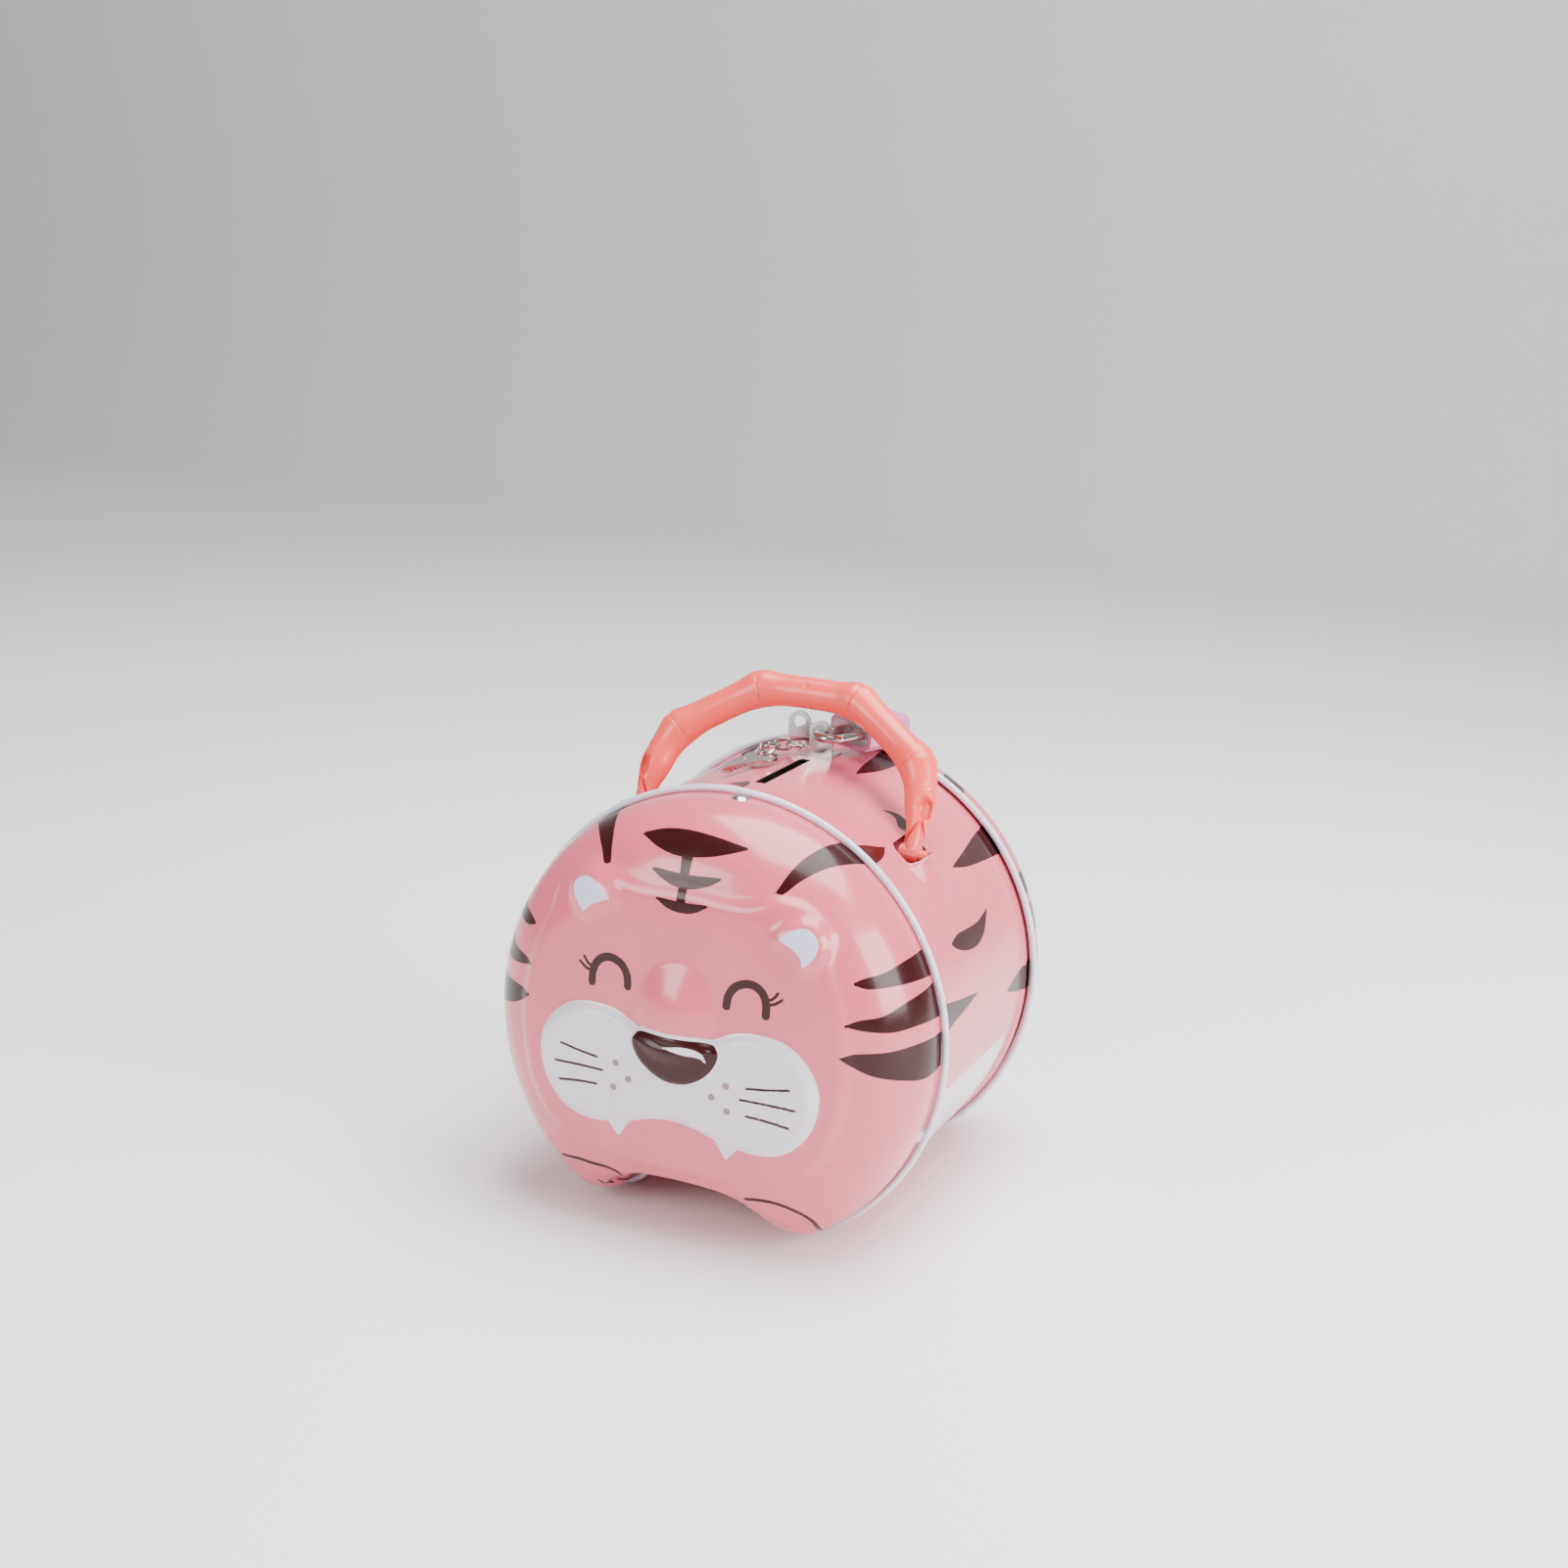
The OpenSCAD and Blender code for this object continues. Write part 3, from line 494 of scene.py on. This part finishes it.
brow_low = leaf([(-7.8, 40.8), (-0.5, 40.5), (6.6, 40.8)],
                [(-7.8, 40.8), (-4.6, 39.0), (-1.0, 38.3), (3.0, 38.8), (6.6, 40.8)])
brow_stem = [(-3.4, 54.5), (0.0, 54.5), (-0.1, 47.0), (0.4, 40.0), (-2.0, 40.0), (-2.4, 47.0)]
nose = curve([(-12.3, 1.2), (-11.6, 3.4), (-9.6, 4.6), (-0.6, 4.9), (9.8, 4.6), (12.2, 3.4), (12.5, 1.0),
              (10.6, -2.8), (7.0, -6.0), (2.6, -7.8), (-2.4, -7.8), (-7.1, -5.7), (-10.7, -2.4)],
             closed=True) + (1.0, 0.3)
shine = leaf([(-1.2, 2.4), (4.5, 3.2), (8.9, 2.5), (10.5, 0.2)],
             [(-1.2, 2.4), (3.9, 1.7), (8.3, 1.3), (10.5, 0.2)])
muzzle = curve([(0, 3.5), (10.5, 5.6), (16.5, 8.4), (23, 9.4), (31, 8.2), (37.2, 3.6), (40.8, -3.2),
                (40.8, -10.5),
                (37.8, -17.6), (32.0, -22.8), (25.0, -24.4), (17.0, -23.4), (11.0, -21.7), (5.5, -20.0),
                (0, -19.4), (-5.5, -20.0), (-11.0, -21.7), (-17.0, -23.4), (-25.0, -24.4), (-32.0, -22.8),
                (-37.8, -17.6), (-40.8, -10.5), (-40.8, -3.2), (-37.2, 3.6), (-31, 8.2), (-23, 9.4),
                (-16.5, 8.4), (-10.5, 5.6)], closed=True)
tooth = [(12.6, -21.6), (16.0, -27.0), (19.6, -22.8)]
eye = [(14.4, 15.6), (14.7, 18.2), (16.0, 20.6), (18.0, 22.0), (20.4, 22.5), (22.6, 21.9), (24.4, 20.2),
       (25.3, 17.6), (25.4, 14.8)]
lashes = [[(26.0, 17.9), (27.6, 18.3), (29.5, 19.7)], [(26.2, 19.2), (27.2, 19.8), (28.3, 21.3)]]
whiskers = [[(21.9, -5.2), (27.5, -4.6), (33.3, -3.7)], [(20.1, -8.6), (27.5, -8.7), (35.1, -9.1)],
            [(22.0, -12.9), (28.0, -13.4), (33.7, -14.3)]]
freckles = [(16.1, -5.6), (12.2, -9.4), (16.6, -12.6)]
left_paw = curve([(-36, -39.6), (-30, -38.6), (-26.2, -38.6), (-20.5, -38.9), (-16.9, -41.5), (-16.7, -45.2),
                  (-18.6, -47.8), (-21.0, -47.2)])
right_paw = curve([(21.0, -38.6), (25.0, -38.0), (30.0, -38.3), (34.7, -40.4), (37.5, -43.8), (37.8, -48.5)])

front_prints = [printed(BROWN, loop, 0.3) for loop in both_sides(cheek_stripes())]
front_prints += [printed(BROWN, loop, 0.35) for loop in (brow_top, brow_middle, brow_low)]
front_prints += [printed(BROWN, brow_stem, 0.1), printed(PALE, muzzle)]
for side in (tooth, flip(tooth)):
    front_prints.append(printed(PALE, side, 0.4))
front_prints += [printed(EAR, left_ear, 0.3), printed(EAR, right_ear, 0.3)]
front_prints += [printed(PALE, nose, 1.0), printed(BROWN, nose), printed(PALE, shine, 0.15)]
for mirror in (lambda points: points, flip):
    front_prints.append(stroked(BROWN, curve(mirror(eye)), 1.15))
    front_prints += [stroked(BROWN, curve(mirror(line)), 0.42) for line in lashes]
    front_prints += [stroked(BROWN, curve(mirror(line)), 0.36) for line in whiskers]
    front_prints += [printed(DOT, ellipse(*spot, 1.0, 1.0, 20)) for spot in mirror(freckles)]
front_prints += [stroked(BROWN, line, 0.5, front_of) for line in (left_paw, right_paw)]
front_prints.append(printed(PALE, ellipse(-20.0, -45.4, 1.2, 1.2, 20), 0, front_of))
front_prints += [stroked(BROWN, [(-25.6, -46.0), (-24.9, -49.2)], 0.4, front_of),
                 stroked(BROWN, [(-23.4, -48.0), (-22.6, -50.2)], 0.4, front_of)]
head = curve([(0, 44), (16, 43), (24, 45.5), (33, 44.5), (40.5, 38), (41.5, 29), (47, 14), (48, -2),
              (44, -20),
              (34, -31), (14, -35), (0, -35.5), (-14, -35), (-34, -31), (-44, -20), (-48, -2), (-47, 14),
              (-41.5, 31), (-40, 40), (-32, 47.5), (-24, 46.5), (-14, 43.5)], closed=True)
# The bridge of the nose: middle, half width, reach up, reach down and height.
bridge_z, bridge_half, bridge_up, bridge_down, bridge_high = 9.0, 12.5, 16.0, 12.0, 3.6


def front_relief(table):
    """Pressed heights: head, ears, bridge of the nose, muzzle, nose and paws."""
    flat, front = flat_of(table), front_of(table)
    height = pressed(inside(flat, head) + 2, 4.5, 1.3)
    height += pressed(np.maximum(inside(flat, left_ear), inside(flat, right_ear)) + 4.2, 4.2, 1.5)
    above = flat[:, 1] > bridge_z
    reach_z = np.where(above, bridge_up, bridge_down)
    reach = np.hypot(flat[:, 0] / bridge_half, (flat[:, 1] - bridge_z) / reach_z)
    height += bridge_high * np.clip(1 - reach ** 2, 0, 1) ** 1.3
    height += pressed(inside(flat, muzzle) + 0.3, 3.2, 1.7)
    height += pressed(inside(flat, nose) + 0.6, 1.8, 1.0)
    paws = np.maximum(along(front, left_paw, 0) + 3.0, along(front, right_paw, 0) + 3.0)
    return height + pressed(paws, 3.0, 0.5)


def no_relief(table):
    return np.zeros(len(table))


skirt_front, skirt_lid = 0.5, 0.8
make_sheet("front_cap_sheet", *cap_grid(skirt_front, -1), front_prints, [], front_relief,
           paints, "drum", "pink_tin_cap", ["front_cap"])

# The lid has the same drawing and only its cheek stripes; the back is plain.
lid_prints = [printed(BROWN, loop, 0.3) for loop in both_sides(cheek_stripes())]
make_sheet("rear_lid_sheet", *cap_grid(skirt_lid, 1), lid_prints, [], no_relief,
           paints, "lid", "pink_tin_lid", ["rear_lid"])

# ---- curled rims ---------------------------------------------------------------
# The edge of each cap is rolled outwards round itself and coated pale lilac.
rim_paint = surface("rim_lacquer", (0.70, 0.68, 0.80), 0.18, coat=0.5, bump=0.006)


def curl(name, skirt, y, body):
    """A bead of 1 mm radius along the cap's outline."""
    q = np.linspace(0, 2 * math.pi, 18, endpoint=False)
    rows = [np.insert(outline(skirt + 1 + math.cos(a)), 1, y + math.sin(a), axis=1) for a in q]
    rows = np.array(rows)
    rows[..., 2] += axis_z
    columns = rows.shape[1]
    tris = grid_faces(len(rows) + 1, columns) % (len(rows) * columns)
    n = normals_of(rows.reshape(-1, 3), tris)
    centre = np.insert(outline(skirt + 1), 1, y, axis=1)
    centre[:, 2] += axis_z
    if ((rows[0] - centre) * n[:columns]).sum() < 0:
        tris = tris[:, ::-1]
    return mesh_object(name, rows.reshape(-1, 3), tris, [rim_paint], np.zeros(len(tris)), None,
                       body, [])


curl("front_rim_curl", skirt_front, -rim_y, "drum")
curl("rear_rim_curl", skirt_lid, rim_y, "lid")

# ---- drum ----------------------------------------------------------------------
# One rolled sheet, tucked under both caps.  It has the coin slot, a mouth and a
# pressed hood for each foot of the handle, a stop bead, stripes and a painted reflection.
drum_end = 42.8
pivot_y = -11.0


def drum_grid():
    """Columns run round the section; the blank's x is the way round from the top."""
    section = outline(0)
    ys = np.linspace(-drum_end, drum_end, 112)
    step = np.linalg.norm(np.diff(section, axis=0, append=section[:1]), axis=1)
    way = np.concatenate([[0], step.cumsum()[:-1]])
    way = np.where(np.arange(len(way)) > len(way) // 2, way - step.sum(), way)
    rows = [np.stack([section[:, 0], np.full(len(section), y), section[:, 1], way,
                      np.full(len(section), y)], 1) for y in ys]
    return np.concatenate(rows), grid_faces(len(ys), len(section))


def at(points):
    """Degrees round from the top, and y, as places on the blank."""
    return [(turn(a) * body_r, y) for a, y in points]


marks = [
    leaf(at([(30.5, -40), (33.4, -30), (35.4, -25.2), (36.6, -21.8)]),
         at([(38.6, -40), (38.6, -30), (37.9, -25), (36.6, -21.8)])),
    leaf(at([(76.2, -40), (78.4, -28), (80.2, -16), (81.3, -7)]),
         at([(86, -40), (83.6, -28), (82.4, -16), (81.3, -7)])),
    leaf(at([(64.4, 12.7), (65.6, 4), (65.4, -4), (64.9, -12), (65.8, -18.3)]),
         at([(64.4, 12.7), (68.6, 6), (70.2, -1), (69.6, -9), (67.6, -15.5), (65.8, -18.3)])),
    leaf(at([(50.3, 5.2), (49.0, 16), (47.0, 30), (45.8, 42)]),
         at([(50.3, 5.2), (52.2, 14), (53.6, 28), (54.6, 42)])),
    leaf(at([(88, 19), (86, 28), (84.4, 42)]), at([(88, 19), (90.4, 28), (92.6, 42)])),
    leaf(at([(14.4, 11.2), (13, 22), (11.8, 42)]),
         at([(14.4, 11.2), (17.3, 22), (18.2, 34), (17.0, 42)])),
    leaf(at([(28, -3), (31.4, 1.4), (35.5, 0.6), (38, -4)]),
         at([(28, -3), (31.5, -1.6), (34.3, -5), (38, -4)])),
    leaf(at([(-22.2, -2.7), (-23.6, 10), (-27.0, 26), (-30, 42)]),
         at([(-22.2, -2.7), (-19.0, 13.5), (-18.6, 28), (-19.5, 42)])),
    at([(-6.4, -25.9), (-3.0, -21.6), (-1.8, -24.1), (-1.6, -28.4)]),
]
mirrored = [np.array(flip(loop))[::-1] for loop in marks[:5]]
# A pale patch low on the right of the drum: a painted reflection, cut in like a print.
painted_reflection = at([(101.5, -31), (102, 25), (123, 25), (123, -31)])
slot_l, slot_w, slot_y = 33.0, 3.2, -5.2
mouth_u0, mouth_u1, mouth_half = 40.8, 49.4, 7.6


def mouth(table, side):
    """The opening that a foot of the handle goes through."""
    u = side * table[:, 3] - (mouth_u0 + mouth_u1) / 2
    v = table[:, 4] - pivot_y
    du, dv = np.abs(u) - (mouth_u1 - mouth_u0) / 2 + 3, np.abs(v) - mouth_half + 3
    out = np.hypot(np.maximum(du, 0), np.maximum(dv, 0)) + np.minimum(np.maximum(du, dv), 0)
    away = side * table[:, 3] < 0
    return np.where(away, -20, 3 - out)


def slot_hole(table):
    u, v = np.abs(table[:, 3]) - slot_w / 2, np.abs(table[:, 4] - slot_y) - slot_l / 2
    return -np.maximum(u, v)


def drum_relief(table):
    """A hood outside each mouth, a soft lip round it, and the stop bead for the lid."""
    height = np.zeros(len(table))
    bead = np.abs(table[:, 4] - 35.0)
    height += 0.6 * np.clip(1 - (bead / 0.9) ** 2, 0, 1) ** 0.5
    for side in (1, -1):
        u, v = side * table[:, 3] - mouth_u1, table[:, 4] - pivot_y
        fall = np.clip(1 - u / 15, 0, 1)
        wide = 5.2 + 2.6 * np.clip(fall, 0, 1)
        bell = np.clip(1 - (v / wide) ** 2, 0, 1)
        ramp = np.clip((u + 1.5) / 1.5, 0, 1)
        height += np.where(u > -1.5, 4.3 * ramp * fall ** 1.6 * bell ** 0.9, 0)
        height -= 0.7 * np.exp(-((u - 6.2) ** 2 + (v + 0.8) ** 2) / 2.2)
        height += pressed(mouth(table, side) + 2.5, 2.5, 0.5)
    return height


drum_prints = [printed(BROWN, loop, 0.25) for loop in marks + mirrored]
# The pale patch added here is painted reflection, not print.
drum_prints.append(printed(PALE, painted_reflection))
make_sheet("drum_sheet", *drum_grid(), drum_prints,
           [slot_hole, lambda t: mouth(t, 1), lambda t: mouth(t, -1)], drum_relief,
           paints, "drum", "pink_tin", ["drum_shell"])

# Under each mouth a curved saddle closes the drum behind the handle's foot.
saddle_r, saddle_half, saddle_rise = 57.2, 11, 5.0
for side, word in ((1, "right"), (-1, "left")):
    angles = np.linspace(mouth_u0 - 3, mouth_u1 + 3.5, 14) / body_r * side
    rows = []
    for y in np.linspace(pivot_y - saddle_half, pivot_y + saddle_half, 18):
        r = saddle_r + (abs(y - pivot_y) / saddle_half) ** 4 * saddle_rise
        rows.append([(r * math.sin(a), y, r * math.cos(a) + axis_z) for a in angles])
    rows = np.array(rows)
    low = rows - np.array([0, 0, tin])
    count = rows.shape[1]
    points = np.concatenate([rows.reshape(-1, 3), low.reshape(-1, 3)])
    size = len(points) // 2
    quads = []
    for j in range(rows.shape[0] - 1):
        for i in range(count - 1):
            a = j * count + i
            quad = [a, a + count, a + count + 1, a + 1] if side > 0 else [a, a + 1, a + count + 1, a + count]
            quads += [quad, [k + size for k in quad[::-1]]]
    ring = list(range(count)) + [j * count + count - 1 for j in range(1, rows.shape[0])]
    ring += [(rows.shape[0] - 1) * count + i for i in range(count - 2, -1, -1)]
    ring += [j * count for j in range(rows.shape[0] - 2, 0, -1)]
    for a, b in zip(ring, ring[1:] + ring[:1]):
        quads.append([a, b, b + size, a + size] if side > 0 else [b, a, a + size, b + size])
    mesh_object("handle_saddle_" + word, points, quads, [pink_lacquer], np.zeros(len(quads)), None,
                "drum", [])

# ---- handle --------------------------------------------------------------------
# A bail moulded in coral plastic like a bent cane: five stretches and four nodes.
# Each leg has a drop-shaped pocket and a split end that snaps on its pivots.
coral = surface("coral_plastic", (0.90, 0.085, 0.065), 0.30, coat=0.12, bump=0.01, bump_mm=0.9, soft=0.12)
grip_half, grip_rise, grip_r, node_r = 41.6, 43.1, 4.6, 5.6
pivot_z = math.sqrt(body_r ** 2 - 44.7 ** 2) + 1.6
lean = turn(32)
leg_start = np.array([grip_half, 4.0])
low_node = np.array([0.885 * grip_half, 0.62 * grip_rise])
high_node = np.array([0.36 * grip_half, 0.98 * grip_rise])
other = np.array([-1, 1])
stretches = [(leg_start, low_node, 1.6), (low_node, high_node, 0.4), (high_node, high_node * other, 0.5),
             (high_node * other, low_node * other, 0.4), (low_node * other, leg_start * other, 1.6)]
path, swell, foot_blend = [(grip_half, 0.0)], [0.0], [0.0]
for k, (a, b, bow) in enumerate(stretches):
    d = b - a
    length = np.linalg.norm(d)
    out = np.array([d[1], -d[0]]) / length
    for t in np.linspace(0, 1, 61)[(0 if k == 0 else 1):]:
        p = a + d * t + out * bow * 4 * t * (1 - t)
        start, rest = length * t, length * (1 - t)
        gap = rest if k == 0 else start if k == 4 else min(start, rest)
        path.append(tuple(p))
        swell.append((node_r - grip_r) * math.exp(-(gap / 4.5) ** 2) - 0.3 * math.exp(-(gap / 0.35) ** 2))
        foot_blend.append(min(1, (start if k == 0 else rest if k == 4 else 99) / 12))
path.append((-grip_half, 0.0))
swell.append(0.0)
foot_blend.append(0.0)
path = np.array(path)
sides = 56
tangent = np.gradient(path, axis=0)
tangent /= np.linalg.norm(tangent, axis=1)[:, None]
kernel = np.ones(5) / 5
tangent = np.stack([np.convolve(np.pad(tangent[:, i], 2, "edge"), kernel, "valid") for i in range(2)], 1)
blend = np.array(foot_blend)
blend = blend * blend * (3 - 2 * blend)
full = grip_r + np.array(swell)
foot_in, foot_across = 2.6, 3.1
half_in = foot_in + (full - foot_in) * blend
half_across = foot_across + (full - foot_across) * blend
# Heights on the leg of its pocket, split and dimple, and how deep each is pressed.
pocket_low, pocket_high, split_top, dimple_at, crown_at = 11.6, 14.6, 10.2, 19.4, 43.2
pocket_deep, split_deep, dimple_deep, crown_deep = 2.6, 1.3, 0.5, 0.4
rows = []
for p, t, u, v in zip(path, tangent, half_in, half_across):
    q = np.linspace(0, 2 * math.pi, sides, endpoint=False)
    normal = np.array([t[1], -t[0]])
    x = p[0] + normal[0] * u * np.cos(q)
    z = p[1] + normal[1] * u * np.cos(q)
    y = v * np.sin(q)
    # Pocket, dimple and split press back the side that faces forwards.
    height = z
    leg_x = grip_half + 1.55 * np.sin(np.clip(height / 27, 0, 1) * math.pi)
    across = (np.abs(x) - leg_x) * np.sign(p[0])
    facing = y < 0
    on_leg, on_crown = facing & (np.abs(x) > 20), facing & (np.abs(x) < 6)
    past = height - np.clip(height, pocket_low, pocket_high)
    pocket = 2.0 - np.hypot(across, past)
    groove = 0.55 - np.abs(np.abs(across) - np.clip((split_top - height) * 0.36, 0, 3))
    groove = np.where((height < split_top) & (height > 1.0), groove, -1)
    dent = 0.9 - np.hypot(across, height - dimple_at)
    crown_dent = 0.8 - np.hypot(x, height - crown_at)
    y = y + np.where(on_leg, pocket_deep * np.clip(pocket / 0.7, 0, 1), 0)
    y = y + np.where(on_leg, split_deep * np.clip(groove / 0.4, 0, 1), 0)
    y = y + np.where(on_leg, dimple_deep * np.clip(dent / 0.5, 0, 1), 0)
    y = y + np.where(on_crown, crown_deep * np.clip(crown_dent / 0.5, 0, 1), 0)
    rows.append(np.stack([x, y, z], 1))
rows = np.array(rows)
grip_points = rows.reshape(-1, 3)
grip_tris = grid_faces(len(rows), sides)
start_fan = np.array([(0, i + 1, i) for i in range(1, sides - 1)])
end = (len(rows) - 1) * sides
end_fan = np.array([(end, end + i, end + i + 1) for i in range(1, sides - 1)])
n = normals_of(grip_points, grip_tris)
if ((rows[150] - rows[150].mean(0)) * n[150 * sides:151 * sides]).sum() < 0:
    grip_tris, start_fan, end_fan = grip_tris[:, ::-1], start_fan[:, ::-1], end_fan[:, ::-1]
grip_faces = [list(f) for f in np.concatenate([grip_tris, end_fan[:, ::-1], start_fan[:, ::-1]])]
# Feet: a round eye and a pin at each end, turned on the X axis.
points = [tuple(p) for p in grip_points]
for side in (1, -1):
    profile = [(-2.6, 0.0), (-2.6, 3.2), (2.6, 3.2), (2.6, 2.0), (5.0, 2.0), (5.4, 1.6), (5.4, 0.0)]
    base = len(points)
    ring_n = 32
    for off, r in profile:
        for i in range(ring_n):
            q = 2 * math.pi * i / ring_n
            points.append((side * (grip_half + off), max(r, 0.01) * math.cos(q), max(r, 0.01) * math.sin(q)))
    for j in range(len(profile) - 1):
        for i in range(ring_n):
            a, b = base + j * ring_n + i, base + j * ring_n + (i + 1) % ring_n
            quad = [a, b, b + ring_n, a + ring_n]
            grip_faces.append(quad if side > 0 else quad[::-1])
points = np.array(points)
y, z = points[:, 1].copy(), points[:, 2].copy()
points[:, 1] = pivot_y + y * math.cos(lean) + z * math.sin(lean)
points[:, 2] = axis_z + pivot_z - y * math.sin(lean) + z * math.cos(lean)
handle = mesh_object("handle_bail", points, grip_faces, [coral], np.zeros(len(grip_faces)), None,
                     "handle", ["handle"])
handle.data.set_sharp_from_angle(angle=turn(40))

# ---- small steel and brass pieces ---------------------------------------------------
# Rivets, hinge, lock eyes, padlock, chain, ring and key keep their shape from the
# model; each gets its own plating, and those given an edge width a narrow rounded edge.
nickel = surface("nickel_plate", (0.50, 0.49, 0.48), 0.20, metal=1.0, bump=0.01, scratch=0.6, spread=0.08)
zinc = surface("zinc_plate", (0.44, 0.44, 0.46), 0.28, metal=1.0, bump=0.01, scratch=0.8, spread=0.08)
brass = surface("brass_turned", (0.78, 0.58, 0.28), 0.25, metal=1.0, bump=0.01, scratch=0.5)
mauve = surface("mauve_jacket", (0.52, 0.19, 0.36), 0.28, coat=0.2, bump=0.012, soft=0.1)
looks = {
    "front_cap_rivets": (nickel, 0), "hinge_rivets_drum": (nickel, 0), "hinge_rivets_lid": (nickel, 0),
    "lock_eye_drum_rivets": (nickel, 0), "lock_eye_lid_rivets": (nickel, 0),
    "hinge_leaf_drum": (zinc, 0.15), "hinge_leaf_lid": (zinc, 0.15), "hinge_pin": (nickel, 0.1),
    "lock_eye_drum": (nickel, 0.15), "lock_eye_lid": (nickel, 0.15),
    "padlock_case": (zinc, 0.25), "padlock_jacket": (mauve, 0.2), "padlock_shackle": (nickel, 0.1),
    "padlock_cylinder": (brass, 0.15), "padlock_latch": (brass, 0.1), "padlock_latch_spring": (zinc, 0),
    "key_chain": (nickel, 0), "key_ring": (nickel, 0), "key": (nickel, 0.12),
}
for name, (look, edge) in looks.items():
    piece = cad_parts[name]
    piece.data.materials.clear()
    piece.data.materials.append(look)
    if edge:
        bevel = piece.modifiers.new("edge", "BEVEL")
        bevel.width = edge * MM
        bevel.segments = 2
        bevel.limit_method = "ANGLE"
        bevel.angle_limit = turn(40)
